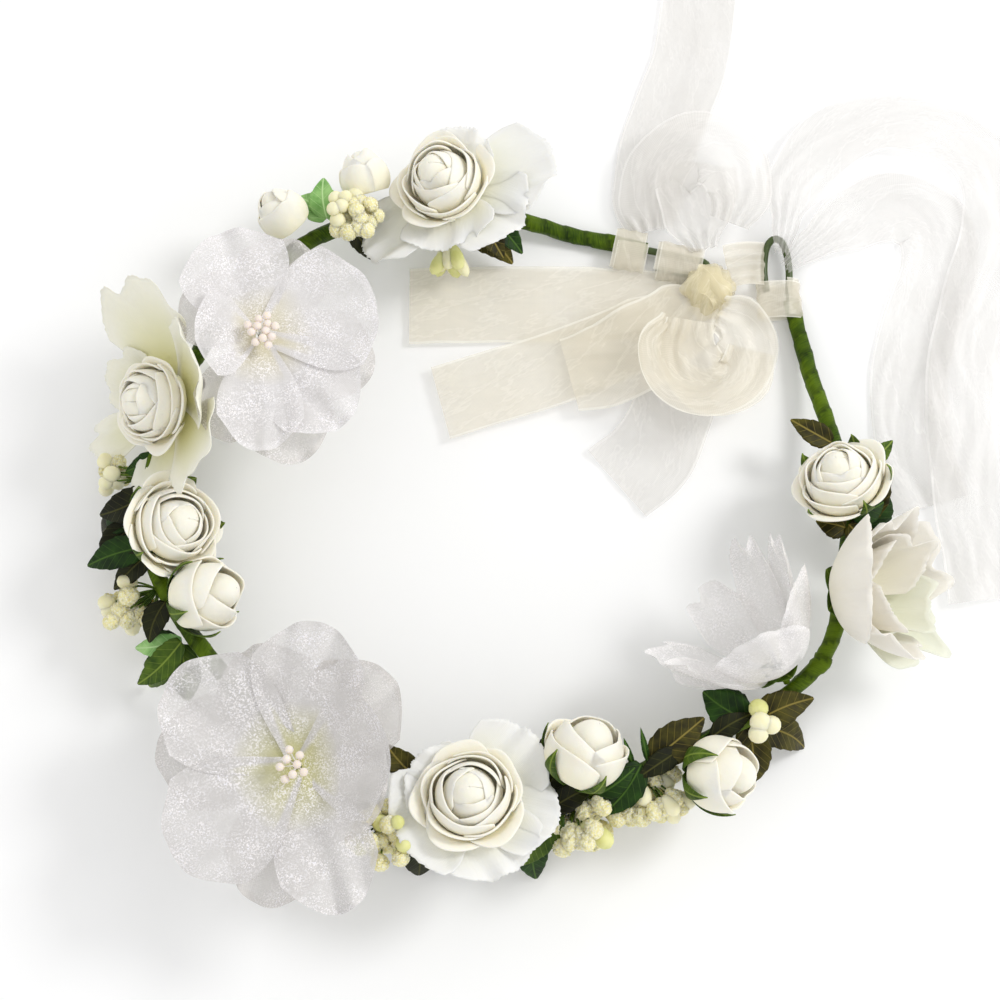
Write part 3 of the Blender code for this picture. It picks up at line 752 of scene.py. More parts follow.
# The two large sheer flowers: turn in degrees, reach, width, rise and cup of each upper and each under petal,
# then the flower's shift in millimetres and its layers' materials.
SHEER_FLOWERS = {
    "front_sheer": (
        [(146, 45, 36, 7, 0.20), (82, 42, 34, 5, 0.18), (8, 30, 38, 15, 0.30), (-70, 45, 30, 3, 0.14),
         (-142, 44, 38, 5, 0.18)],
        [(172, 43, 34, 1, 0.08), (114, 38, 32, 0, 0.08), (44, 38, 32, 3, 0.10), (-30, 28, 32, 1, 0.08),
         (-104, 42, 30, -1, 0.06)],
        (0, 0), (SHEER, SHEER_UNDER),
    ),
    "left_sheer": (
        [(114, 32, 34, 7, 0.20), (20, 36, 38, 6, 0.18), (-46, 37, 31, 5, 0.16), (-90, 36, 26, 5, 0.16),
         (186, 20, 26, 8, 0.20)],
        [(150, 26, 26, 1, 0.08), (70, 32, 28, 0, 0.08), (-14, 36, 28, 0, 0.08), (-72, 40, 30, -1, 0.06),
         (-110, 34, 24, 0, 0.06)],
        (-3.5, -4.0), (SHEER_PALE, SHEER_UNDER),
    ),
}


def sheer_flower(name, seed):
    """A large organza flower: two layers of glittered petals, each cut and hemmed, and its pearl stamens."""
    upper, under, shift, materials = SHEER_FLOWERS[name]
    for layer, (petals, material) in enumerate(zip((upper, under), materials)):
        node = f"{name}_petals_" + ("upper", "under")[layer]
        matrix = shifted_pose(node, shift)
        shape = Shape()
        for k, (turn, reach, width, rise, cup) in enumerate(petals):
            cloth_petal(
                shape, radians(turn), reach, width, rise, seed + layer * 20 + k, cup, wave=0.075, fray=0,
                neck=0.22, lift=0.5 * k - 0.6, tilt=0.05 * (-1) ** k, rows=24, columns=34,
            )
        settle(shape.build(node + "_cloth", [material], matrix), "sheer_organza", node)
    stamen_bunch(name, shift, STAMEN_COUNTS[name], spread_radius=4.6, height=6.5)


# Silk petals under the two foam roses: turn in degrees, reach, width and rise.
SILK_SKIRTS = {
    "top_rose": [(6, 35, 30, 2), (-36, 29, 30, 1), (-90, 21, 32, 1), (-150, 33, 22, -1), (60, 19, 22, 6)],
    "front_rose": [
        (46, 27, 28, 3.6), (-14, 27, 26, 2), (-62, 25, 30, 0), (-152, 24, 34, 2), (150, 20, 24, 3),
    ],
}


def silk_skirt(name, seed):
    """The ring of white silk petals that a foam rose sits on."""
    node = name + "_petals"
    matrix, _, _ = pose_of(node, name + "_calyx")
    shape = Shape()
    for k, (turn, reach, width, rise) in enumerate(SILK_SKIRTS[name]):
        cloth_petal(
            shape, radians(turn), reach, width, rise, seed + k, cup=0.10, wave=0.09, fray=0.45,
            neck=0.3, lift=0.35 * k, tilt=0.06 * (-1) ** k, rows=18, columns=56,
        )
    obj = shape.build(node + "_cloth", [WHITE_SILK], matrix, SILK_THICKNESS)
    return settle(obj, "white_silk", node)


def open_flower(name, petals, materials, slot, seed, wave=0.06, fray=0.4, thickness=SILK_THICKNESS):
    """A deep open flower in its node's place from petals of turn, reach, width, rise, bend and material."""
    node = name + "_petals"
    matrix, _, _ = pose_of(node, name + "_calyx")
    shape = Shape()
    for k, (turn, reach, width, rise, bend, kind) in enumerate(petals):
        deep_petal(shape, radians(turn), reach, width, rise, seed + k, bend, wave, fray, kind)
    return settle(shape.build(node + "_cloth", materials, matrix, thickness), slot, node)


# The petals of the silk flower with the green throat, the cream silk cup and the side-facing organza flower.
SILK_LEFT = [
    (96, 37, 50, 15, 50, 0), (24, 30, 48, 16, 57, 0), (-36, 33, 44, 13, 48, 0), (-96, 29, 26, 8, 46, 0),
    (-158, 33, 20, 5, 46, 0), (150, 24, 28, 7, 50, 0),
]
SILK_RIGHT = [
    (178, 24, 52, 27, 80, 0), (104, 19, 40, 27, 76, 0), (30, 25, 42, 21, 62, 0), (-30, 29, 40, 16, 52, 1),
    (-98, 22, 44, 25, 72, 0), (140, 13, 30, 24, 84, 0), (60, 14, 30, 25, 80, 0), (-20, 17, 34, 21, 76, 1),
    (-130, 14, 32, 24, 84, 0),
]
SIDE_ORGANZA = [
    (70, 20, 20, 34, 64, 0), (24, 20, 24, 36, 68, 0), (120, 23, 26, 24, 56, 0), (176, 30, 26, 22, 52, 0),
    (-150, 26, 34, 24, 60, 0), (-84, 23, 40, 27, 70, 0), (-24, 22, 34, 30, 72, 0),
]


# ---- calyxes, buds and leaves ----


LEAF_FOLD = 0.22
LEAF_THICKNESS = 0.3


def leaf(shape, base, tip, width, kind, seed, teeth=7, arch=0.12):
    """One fabric leaf from base to tip: toothed edges, folded along its midrib, arched along its length."""
    draw = Random(seed)
    along = tip - base
    side = along.cross(UP).normalized()
    over = side.cross(along).normalized()
    swing, twist = draw.uniform(-0.08, 0.08), draw.uniform(-0.25, 0.25)

    def place(u, v):
        a = 2 * u - 1
        outline = sin(pi * min(1, v * 0.93 + 0.05) ** 0.72) ** 0.85
        tooth = 1 + (0.10 * ((v * teeth) % 1.0) - 0.05) * abs(a) ** 4 * (v > 0.08)
        half = width / 2 * max(0.04, outline) * tooth
        lean = twist * v
        across = side * (a * half * cos(lean)) + over * (a * half * sin(lean))
        crown = over * (LEAF_FOLD * abs(a) * half + arch * along.length * sin(pi * v))
        sway = side * (swing * along.length * sin(pi * v))
        uv = (a * half * MM, v * along.length * MM)
        return base + along * v + across + crown + sway, uv, 0.55 + 0.45 * v

    shape.patch(22, 10, place, kind)


SEPALS = 5
SEPAL_WIDTH = 0.62
SEPAL_CLEAR = 1.07


def calyx_piece(name, flower, seed, radius_share=1.0, length=1.0, hugging=True):
    """Green sepals that hold a flower from below, over the stem that the model gives it."""
    node = name + "_calyx"
    matrix, radius, height = pose_of(flower, node)
    foot = stem_foot(cloud(node), matrix)
    shape, draw = Shape(), Random(seed)
    axis = matrix.to_3x3() @ UP
    neck = matrix.translation / MM - axis * 1.2
    stem = bend_between(foot, neck, (neck - foot) * 0.35, 8)
    tube(shape, stem, lambda v, turn, d: 0.95 + 0.15 * sin(d * 2 + turn) + max(0, v - 0.75) * 5.0, 10, 1)
    for k in range(SEPALS):
        turn = 2 * pi * k / SEPALS + draw.uniform(-0.2, 0.2)
        width = radius * SEPAL_WIDTH * radius_share
        if hugging:
            hugging_sepal(shape, matrix, turn, radius * SEPAL_CLEAR, height, draw.uniform(66, 84), width)
        else:
            reach = radius * 0.98 * length * draw.uniform(0.85, 1.1)
            sepal(shape, matrix, turn, reach, -1.2, width)
    obj = shape.build(node + "_sepals", [SEPAL, TAPE], thickness=LEAF_THICKNESS)
    return settle(obj, "calyx", node)


def stem_foot(points, matrix):
    """The middle of a stem's foot, which is its end farthest from the flower."""
    base = np.array(matrix.translation) / MM
    order = np.argsort(np.linalg.norm(points - base, axis=1))
    return Vector(points[order[-8:]].mean(0))


def hugging_sepal(shape, matrix, turn, radius, height, end, width):
    """One pointed sepal that follows the outside of a foam rose up to end, in degrees from its top."""
    turned, start = matrix.to_3x3(), matrix.translation / MM

    def place(u, v):
        a = 2 * u - 1
        polar = radians(164 + (end - 164) * v)
        half = max(0.12, width / 2 * sin(pi * min(1, 0.3 + 0.55 * v)) * (1 - v**2.6))
        out = radius * sin(polar) * (1 + 0.05 * v**3) + 0.4
        angle = turn + a * half / max(2.0, out)
        local = around(out, angle, max(-1.4, dome_rise(height, polar)))
        return start + turned @ local, (a * half * MM, v * radius * 1.7 * MM), 0.4 + 0.6 * v

    shape.patch(14, 6, place)


def sepal(shape, matrix, turn, reach, rise, width):
    """One pointed sepal that leaves the stem's top and lies under a cloth flower."""
    turned, start = matrix.to_3x3(), matrix.translation / MM

    def place(u, v):
        a = 2 * u - 1
        out = 1.0 + (reach * 1.03 - 1.0) * sin(min(1, v * 1.05) * pi / 2) ** 0.8
        up = -1.6 + (rise + 1.6) * v**1.9
        half = max(0.12, width / 2 * (0.5 + 0.9 * sin(pi * min(1, v + 0.12))) * (1 - v**3))
        angle = turn + a * half / max(2.0, out)
        local = around(out, angle, up + 0.25 * abs(a) * half)
        return start + turned @ local, (a * half * MM, v * reach * 1.4 * MM), 0.4 + 0.6 * v

    shape.patch(12, 6, place)


GRAINY, SMOOTH, GREENISH = range(3)
# Bud clusters: the number of berries, their radius and length, the cluster's radius and length, what the
# berries are, and how far the cluster leans back over its stem, as a share of it.
CLUSTERS = {
    "buds_top": (20, 2.4, 4.6, 7.5, 11, (GRAINY, SMOOTH, GRAINY, GRAINY, SMOOTH), 0.10),
    "buds_left": (12, 2.5, 5.0, 5.5, 8, (SMOOTH, GRAINY, SMOOTH), 0.0),
    "buds_side": (26, 2.5, 6.0, 7.5, 17, (GRAINY, GRAINY, SMOOTH, GRAINY), 0.05),
    "buds_front": (26, 2.5, 5.8, 8.0, 15, (GRAINY, GRAINY, GREENISH), 0.0),
    "buds_middle": (40, 2.7, 6.8, 10.0, 16, (GRAINY, GRAINY, GRAINY, GRAINY, GREENISH), 0.38),
    "buds_right": (34, 2.6, 6.8, 9.8, 15, (GRAINY, GRAINY, SMOOTH), 0.28),
    "buds_corner": (4, 3.0, 6.4, 4.4, 5, (SMOOTH, SMOOTH, GREENISH), -0.1),
    "buds_inner": (9, 2.3, 10.0, 4.4, 4, (GREENISH, SMOOTH), -0.30),
}
# The leaf behind a cluster: its tip, width and material.
CLUSTER_LEAVES = {"buds_right": ((27, -93, 11), 10, GREEN_LEAF), "buds_inner": ((1, 82, 4), 12, OLIVE_LEAF)}
# How much higher each cluster stands than its node's middle.
CLUSTER_LIFT = 3.0
GOLDEN_ANGLE = 2.39996
STEM_RADIUS = 0.3
# The middles of the bud clusters, in millimetres, as the model has them.
CLUSTER_MIDDLES = {
    "buds_top": (-48, 89, 31), "buds_left": (-122, 11, 14), "buds_side": (-116, -30, 14),
    "buds_front": (-38, -100, 30), "buds_middle": (23, -98, 15), "buds_right": (44, -90, 15),
    "buds_corner": (75, -66, 29), "buds_inner": (-19, 84, 10),
}
BAND = smooth_line(MAIN_LINE, 3)


def nearest_on(line, point):
    """The point of a line nearest to a point."""
    found = []
    for a, b in zip(line, line[1:]):
        share = max(0, min(1, (point - a).dot(b - a) / (b - a).length_squared))
        found.append(a.lerp(b, share))
    return min(found, key=lambda place: (place - point).length)


def bud_cluster(node, seed):
    """Sugared and smooth berries packed round thin stems that come out of the band."""
    count, radius, length, wide, deep, kinds, pull = CLUSTERS[node]
    middle = Vector(CLUSTER_MIDDLES[node])
    on_band = nearest_on(BAND, middle)
    foot = on_band + (middle - on_band).normalized() * TAPE_RADIUS
    middle = middle.lerp(foot, pull) + UP * CLUSTER_LIFT
    out = (middle - foot).normalized()
    side = out.orthogonal().normalized()
    other = out.cross(side)
    shape, draw = Shape(), Random(seed)
    for k in range(count):
        turn = k * GOLDEN_ANGLE + seed
        share = sqrt((k + 0.3) / count)
        sideways = side * cos(turn) + other * sin(turn)
        spot = middle + sideways * wide * share + out * deep * draw.uniform(-0.5, 0.5) * (1 - 0.4 * share)
        way = (out + sideways * 0.75 * share).normalized()
        long = length * draw.uniform(0.85, 1.15)
        kind = kinds[k % len(kinds)]
        grain, sides, rows = (0.30, 28, 22) if kind == GRAINY else (0.03, 14, 12)
        start = spot - way * long / 2
        size = radius * draw.uniform(0.85, 1.1)
        berry(shape, start, start + way * long, size, kind, k + seed, grain, sides, rows)
        stem = bend_between(foot, start + way * 0.4, (start - foot) * 0.5 + sideways, 5)
        tube(shape, stem, STEM_RADIUS, 6, 3)
    materials = [GRAIN_BERRY, SMOOTH_BERRY, GREEN_BERRY, SEPAL]
    if node in CLUSTER_LEAVES:
        tip, width, material = CLUSTER_LEAVES[node]
        leaf(shape, foot, Vector(tip), width, len(materials), seed)
        materials.append(material)
    shape.keep_above(0.2)
    return settle(shape.build(node + "_berries", materials), "buds", node)


DARK, OLIVE, GREEN, LIGHT, FRESH = range(5)
LEAF_CLOTHS = [DARK_LEAF, OLIVE_LEAF, GREEN_LEAF, LIGHT_LEAF, SEPAL]
# Leaf sprigs: hub, tips and width in millimetres, cloths in turn and teeth.
LEAF_SPRIGS = {
    "leaves_top": ((-57, 90.6, 25), [(-66, 98, 23), (-58, 103, 27), (-49, 99, 23)], 9, [LIGHT], 3),
    "leaves_left": ((-114.5, -4, 20), [(-128, -5, 1), (-125, -1, 13), (-126, -17, 10)], 10, [DARK, GREEN], 6),
    "leaves_side": ((-100, -42, 20), [(-112, -53, 1), (-112, -43, 9), (-99, -58, 7)], 10, [FRESH, GREEN], 5),
    "leaves_front": (
        (-29, -95.5, 19), [(-28, -111, 1), (-31, -80, 14), (-14, -108, 6)], 12, [DARK, OLIVE], 5,
    ),
    "leaves_middle": ((7, -93, 19), [(8, -112, 1), (6, -78, 15), (17, -76, 13)], 11, [GREEN, DARK], 8),
    "leaves_corner": ((72, -66, 19), [(91, -72, 1), (60, -56, 10), (73, -84, 5)], 11, [OLIVE, GREEN], 6),
    "leaves_arm": ((108, -5, 18), [(118, -10, 5), (117, 6, 13), (113, 19, 19)], 10, [OLIVE, GREEN], 6),
}


def leaf_sprig(node, seed):
    """A few leaves from one hub, kept off the floor."""
    hub, tips, width, cloths, teeth = LEAF_SPRIGS[node]
    shape = Shape()
    for k, tip in enumerate(tips):
        leaf(shape, Vector(hub), Vector(tip), width, k % len(cloths), seed + k, teeth)
    shape.keep_above(LEAF_THICKNESS)
    obj = shape.build(node + "_cloth", [LEAF_CLOTHS[k] for k in cloths], thickness=LEAF_THICKNESS)
    return settle(obj, "leaf_fabric", node)


# Single leaves and needles between the sprigs, for each body: base, tip and width in millimetres, and cloth.
LOOSE_LEAVES = {
    "band": [
        ((-26, -84, 27), (-37, -73, 26), 9, OLIVE), ((0, -90, 26), (9.8, -71, 22), 10, DARK),
        ((8, -88, 28), (17, -77, 27), 8, DARK), ((12, -86, 27), (8, -76, 27), 2, GREEN),
        ((15, -84, 27), (14, -74, 26), 2, GREEN), ((16, -84, 27), (20, -75, 27), 2, GREEN),
        ((14.6, -93, 26), (4.3, -108, 12), 10, FRESH), ((9.8, -94, 26), (-1.5, -103, 16), 7, DARK),
        ((39, -79, 29), (27, -94, 25), 10, GREEN), ((42, -78, 28), (58, -65, 27), 12, OLIVE),
        ((41, -78, 27), (39, -68, 27), 2, GREEN), ((43, -77, 27), (46, -68, 26), 2, GREEN),
        ((37, -80, 27), (34, -71, 26), 2, GREEN), ((12, -92, 29), (25, -85, 29), 8, DARK),
        ((26, -88, 29), (37, -80, 30), 7, GREEN), ((50, -75, 29), (38, -83, 29), 7, DARK),
        ((71, -66, 27), (58, -57, 25), 12, GREEN), ((72, -67, 28), (91, -59, 26), 11, OLIVE),
        ((60, -71, 29), (72, -64, 29), 7, DARK), ((-16, -95, 26.6), (-4, -91, 26.6), 7, DARK),
        ((-104, 12, 26), (-118, 11, 21), 9, GREEN), ((-110, 3, 26), (-126, -2, 18), 10, DARK),
        ((-111, -13, 26), (-129, -18, 20), 10, GREEN), ((-108, -14, 27), (-121, -25, 18), 8, DARK),
        ((-104, -30, 27), (-109, -42, 24), 8, DARK), ((-99, -42, 26), (-113, -54, 18), 9, FRESH),
        ((-99, -42, 25), (-114, -43, 18), 7, LIGHT), ((-100, -44, 25), (-108, -50, 18), 7, FRESH),
        ((-36, 92, 21.5), (-42, 83, 16), 9, GREEN), ((-97, -36, 29), (-103, -24, 29), 7, GREEN),
        ((-108, -10, 29), (-106, 2, 29), 7, GREEN), ((-95, 40, 26), (-101, 33, 24), 8, DARK),
        ((-10, 96, 15), (-2, 81, 14), 10, OLIVE), ((-6, 94, 14), (4, 83, 12), 8, GREEN),
        ((-30, 94, 17), (-20, 104, 10), 7, DARK), ((60, -70, 26), (66, -81, 20), 7, DARK),
        ((-50, 88, 23), (-43, 80, 15), 7, DARK),
    ],
    "right_arm": [
        ((99.5, 21, 17), (87, 28, 18), 8, OLIVE), ((103, -6, 25), (113, -15, 24), 9, OLIVE),
        ((102, -7, 25), (93, -5, 26), 9, OLIVE), ((104, -4, 26), (114, 1, 24), 8, GREEN),
        ((103, -8, 25), (111, -14, 22), 7, FRESH), ((108, 13, 22), (118, 21, 20), 6, FRESH),
    ],
}


def loose_leaves(body, seed):
    """The single leaves that fill the gaps on one body."""
    shape = Shape()
    for k, (foot, tip, width, kind) in enumerate(LOOSE_LEAVES[body]):
        teeth = 9 if kind == FRESH else 5
        leaf(shape, Vector(foot), Vector(tip), width, kind, seed + k, teeth, arch=0.10 if width > 3 else 0.3)
    obj = shape.build("loose_leaves_" + body, LEAF_CLOTHS, thickness=LEAF_THICKNESS)
    return add_on(obj, body)


# ---- band ----


def tape_wrap(name, node, line, seed, sleeve=0.0):
    """Crepe tape wound round the wires, each turn lapping the last, over the bumps of the stems under it."""
    shape = Shape()
    along = lengths(line)

    def size(_, turn, distance):
        lap = (distance / TAPE_PITCH + turn / (2 * pi)) % 1.0
        lump = noise.noise(Vector((distance * 0.11 + seed, cos(turn), sin(turn))))
        swell = SLEEVE_SWELL if sleeve and distance > along[-1] - sleeve else 1
        return TAPE_RADIUS * swell * (0.93 + 0.10 * lap + 0.16 * lump)

    tube(shape, line, size, TAPE_SIDES)
    # Painted shade at the laps: the shade value is lowest where a turn steps over the last and full a third
    # of a turn on.
    for i, distance in enumerate(along):
        for j in range(TAPE_SIDES + 1):
            lap = (distance / TAPE_PITCH + j / TAPE_SIDES) % 1.0
            shape.shades[i * (TAPE_SIDES + 1) + j] = min(1.0, 0.25 + 2.2 * lap)
    return settle(shape.build(name, [TAPE]), "floral_tape", node)


def band():
    """The tape over both lengths of wire, and the wire loops that show at its ends."""
    main, arm = smooth_line(MAIN_LINE, 1.0), smooth_line(ARM_LINE, 1.0)
    tape_wrap("tape_main", "tape_wrap_main", main + arm[1:3], 1, SLEEVE)
    tape_wrap("tape_right", "tape_wrap_right", arm[1:], 7)
    for name, node, line in (
        ("wire_main", "core_wire_main", smooth_line(LEFT_LOOP, 1)[::-1] + main[:20]),
        ("wire_right", "core_wire_right", arm[-20:] + smooth_line(RIGHT_LOOP, 1)),
    ):
        shape = Shape()
        tube(shape, line, WIRE_RADIUS, 16)
        settle(shape.build(name, [WIRE]), "wire", node)


# ---- ribbons ----

RIBBON_WIDTH = 25.0
RIBBON_STEP = 1.5
RIBBON_COLUMNS = 28
LOWEST = 0.25
GATHERED_WIDTH = 19
MOSTLY_LEVEL = 0.7
PLEATS = 4
# Ribbon runs: stations of x, y, z, width and, where it leans, its lean in degrees, then how the ribbon is
# held, how much it crumples, and its cloth.
RIBBON_RUNS = {
    "ribbon_tail_left_upper": ([
        (54, 72, 3.4, 15), (40, 69, 2.2, 23), (20, 69, 1.2, 25), (-8, 69, 0.8, 25),
        (-32, 69, 0.8, 25)], "laid", 0.9, CREAM_RIBBON),
    "ribbon_tail_left_lower": ([
        (55, 68, 5.4, 15), (42, 59, 4.2, 23), (20, 50, 3.4, 24), (0, 43, 2.6, 24),
        (-22, 37, 2.4, 24)], "laid", 0.9, CREAM_RIBBON),
    "ribbon_tail_down": ([
        (61, 66, 1.8, 12), (58, 52, 1, 22), (52, 34, 0.4, 26), (44, 20, 0.4, 28),
        (34, 11, 0.4, 28)], "laid", 0.7, PALE_RIBBON),
    "ribbon_tail_up": ([
        (46, 95, 0.4, 18), (44, 106, 0.4, 22), (49, 124, 0.4, 25), (58, 148, 0.4, 25),
        (62, 172, 0.4, 25), (64, 186, 0.4, 25)], "laid", 0.5, PALE_RIBBON),
    "ribbon_loop_upper": ([
        (46, 93, 3.5, 13), (45, 102, 5, 21), (49, 112, 8, 24), (60, 118, 11, 25), (70, 113, 13, 24),
        (73, 103, 12, 21), (70, 94, 9, 13)], "gathered", 0.8, PALE_RIBBON),
    "ribbon_loop_lower": ([
        (66, 64, 12, 12, -30), (72, 60, 13, 19, -35), (75, 51, 13, 22, -35), (71, 41, 13, 22, -35),
        (61, 37, 13, 22, -35), (51, 41, 13, 22, -35), (47, 51, 13, 19, -35), (52, 60, 12, 12, -30)],
        "gathered", 0.8, CREAM_RIBBON),
    "ribbon_bridge": ([
        (69, 80, 7, 14), (75, 81, 7.4, 14), (81, 81, 7, 14)], "gathered", 0.5, CREAM_RIBBON),
    "ribbon_streamer_outer": ([
        (86, 84, 9, 5), (88, 94, 8, 9), (91, 107, 6, 19), (102, 122, 4, 22), (120, 130, 3, 20),
        (140, 128, 2.4, 22), (155, 116, 2.4, 24), (158, 96, 2.4, 25), (151, 74, 2.4, 25),
        (145, 50, 2.4, 25), (144, 24, 2.4, 25), (147, -2, 2.4, 25), (150, -26, 2.4, 25)],
        "laid", 0.9, STREAMER_RIBBON),
    "ribbon_streamer_inner": ([
        (88, 80, 6, 5), (97, 88, 4, 11), (110, 97, 1.4, 21), (124, 102, 0.4, 24),
        (136, 96, 0.4, 25), (138, 80, 0.4, 25), (131, 62, 0.4, 25), (127, 42, 0.4, 25),
        (128, 22, 0.4, 25), (133, 4, 0.4, 25)], "laid", 0.9, STREAMER_RIBBON),
}
# Turns of the knot: their direction and tip in radians, and size.
KNOT_TURNS = [(0.3, 0.2, 6.6), (1.4, -0.4, 5.8), (2.5, 0.5, 7.4), (0.9, 0.1, 8.6), (2.0, -0.3, 8.0)]
WRAP_TURNS = 1.3
# Short turns of ribbon round the wires: middle, direction along them, half sizes, width, cloth and body.
WRAPS = {
    "ribbon_wrap_left": ((38.5, 86.2, 3.6), (1, -0.18, 0), (6.4, 3.3), 10, CREAM_RIBBON, "band"),
    "ribbon_wrap_loop": ((54, 81.8, 3.2), (1, -0.18, 0), (6.2, 2.8), 14, CREAM_RIBBON, "band"),
    "ribbon_wrap_hook": ((85.8, 70, 3.6), (0.05, -1, 0), (6.6, 3.3), 12, CREAM_RIBBON, "right_arm"),
}
# Folds inside the bow: stations, held, crumple and cloth, on the band.
BOW_FOLDS = {
    "bow_fold_upper": ([
        (62, 86, 6, 9), (60, 96, 6.5, 22), (60, 106, 7.5, 27), (61, 114, 8, 24)],
        "gathered", 0.7, PALE_RIBBON),
    "bow_fold_left": ([
        (64, 70, 9, 13), (54, 62, 10, 24), (42, 54, 9, 28), (30, 48, 6.6, 27), (19, 45, 4.9, 24)],
        "laid", 1.3, CREAM_RIBBON),
    "bow_fold_lower": ([
        (57, 61, 13, 15), (56, 51, 11, 20), (63, 42, 9, 21), (73, 43, 9, 19), (76, 52, 11, 15)],
        "gathered", 1.3, CREAM_RIBBON),
}


def ribbon_frames(line):
    """Pairs of cross directions along a ribbon: level across it, and carried over where it stands up."""
    side = None
    frames = []
    for direction in tangents(line):
        level = Vector((direction.x, direction.y, 0)).cross(UP)
        if side is None or level.length > MOSTLY_LEVEL:
            flips = side is not None and level.dot(side) < 0
            side = -level.normalized() if flips else level.normalized()
        else:
            side = (side - direction * side.dot(direction)).normalized()
        frames.append((side, side.cross(direction)))
    return frames


def eased(a, b, share):
    share = share * share * (3 - 2 * share)
    return a + (b - a) * share


def ribbon(node, run, seed):
    """An organza ribbon through its stations, pleated where it is gathered, with soft folds along it."""
    stations, held, crumple, cloth = run
    stations = [(*station, 0)[:5] for station in stations]
    keys = [Vector(station[:3]) for station in stations]
    line = smooth_line(keys, RIBBON_STEP)
    at_keys = []
    for key in keys:
        after = at_keys[-1] if at_keys else 0
        at_keys.append(min(range(after, len(line)), key=lambda i: (line[i] - key).length))
    frames, along = ribbon_frames(line), lengths(line)
    rows = len(line) - 1

    def between_keys(k, column):
        for i in range(len(keys) - 1):
            if k <= at_keys[i + 1]:
                share = (k - at_keys[i]) / max(1, at_keys[i + 1] - at_keys[i])
                return eased(stations[i][column], stations[i + 1][column], share)
        return stations[-1][column]

    def place(u, v):
        k = round(v * rows)
        a = 2 * u - 1
        level, up = frames[k]
        tip = Matrix.Rotation(radians(between_keys(k, 4)), 3, level.cross(up))
        side, over = tip @ level, tip @ up
        width = between_keys(k, 3)
        spare = max(0, 1 - width / GATHERED_WIDTH)
        pleat = sqrt(spare) * 1.6 * sin(a * pi * PLEATS + seed)
        drift = 0.9 * noise.noise(Vector((along[k] * 0.03, seed * 2.3, 0)))
        spot = Vector((along[k] * 0.018 + seed * 7.3, a * 1.5 + drift, seed))
        fold = 2.0 * noise.noise(spot) + 1.0 * noise.noise(spot * 2.3) + 0.4 * noise.noise(spot * 6)
        edge_curl = 0.9 * abs(a) ** 3 * noise.noise(Vector((along[k] * 0.09, seed * 3.1, a)))
        rise = (fold + edge_curl + 0.7) * crumple + pleat
        sway = 0.9 * noise.noise(Vector((along[k] * 0.05, seed * 5.7, 0)))
        point = line[k] + side * (a * width / 2 + sway * abs(a)) + over * rise
        point.z = max(point.z, LOWEST + 0.3 * abs(fold))
        return point, (a * RIBBON_WIDTH / 2 * MM, along[k] * MM), min(1.0, abs(a) ** 0.9)

    shape = Shape()
    shape.patch(rows, RIBBON_COLUMNS, place)
    obj = shape.build(node + "_cloth", [cloth])
    if node == "ribbon_bridge":
        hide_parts(node)
        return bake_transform(obj)
    if node in BOW_FOLDS:
        return add_on(obj, "band")
    return settle(obj, "organza_ribbon", node)


def knot():
    """The ribbon's knot: soft crumpled turns of gathered ribbon over the wire."""
    low, high = (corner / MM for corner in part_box("ribbon_knot"))
    middle = (low + high) / 2
    shape = Shape()
    for k, (turn, tip, size) in enumerate(KNOT_TURNS):
        turned = Matrix.Rotation(turn, 3, "Z") @ Matrix.Rotation(tip, 3, "X")

        def place(u, v):
            a, angle = 2 * u - 1, 2 * pi * v
            swell = noise.noise(Vector((cos(angle), sin(angle) + a, k * 5.0)))
            out = size * (1 - 0.38 * a * a + 0.20 * swell + 0.06 * sin(a * pi * 3 + k + angle))
            local = Vector((out * cos(angle), a * size * (0.8 + 0.3 * swell), 0.72 * out * sin(angle)))
            point = middle + turned @ local
            point.z = max(point.z, LOWEST)
            return point, (a * 0.012, angle * size * MM), abs(a) * 0.95

        shape.patch(60, 20, place)
    return settle(shape.build("ribbon_knot_cloth", [KNOT_RIBBON]), "organza_ribbon", "ribbon_knot")


def wrap(name, seed):
    """One ribbon end wound round the wires, its turns lapping."""
    middle, axis, (across, up), width, cloth, body = WRAPS[name]
    axis = Vector(axis).normalized()
    side = axis.cross(UP).normalized()
    around = 2 * pi * WRAP_TURNS
    length = around * (across + up) / 2

    def place(u, v):
        a, angle = 2 * u - 1, around * v + seed
        size = 1 + 0.08 * v + 0.10 * noise.noise(Vector((cos(angle) * 1.4, sin(angle) * 1.4, a * 0.8 + seed)))
        size += 0.03 * sin(a * pi * 2.5 + seed)
        point = Vector(middle) + side * across * size * cos(angle) + UP * up * size * sin(angle)
        point += axis * (a * width / 2 + 1.4 * (v - 0.5))
        point.z = max(point.z, LOWEST)
        return point, (a * width / 2 * MM, v * length * MM), min(1.0, abs(a) ** 0.9)

    shape = Shape()
    shape.patch(64, 14, place)
    obj = shape.build(name + "_cloth", [cloth])
    return add_on(obj, body)


# ---- camera, light and floor ----


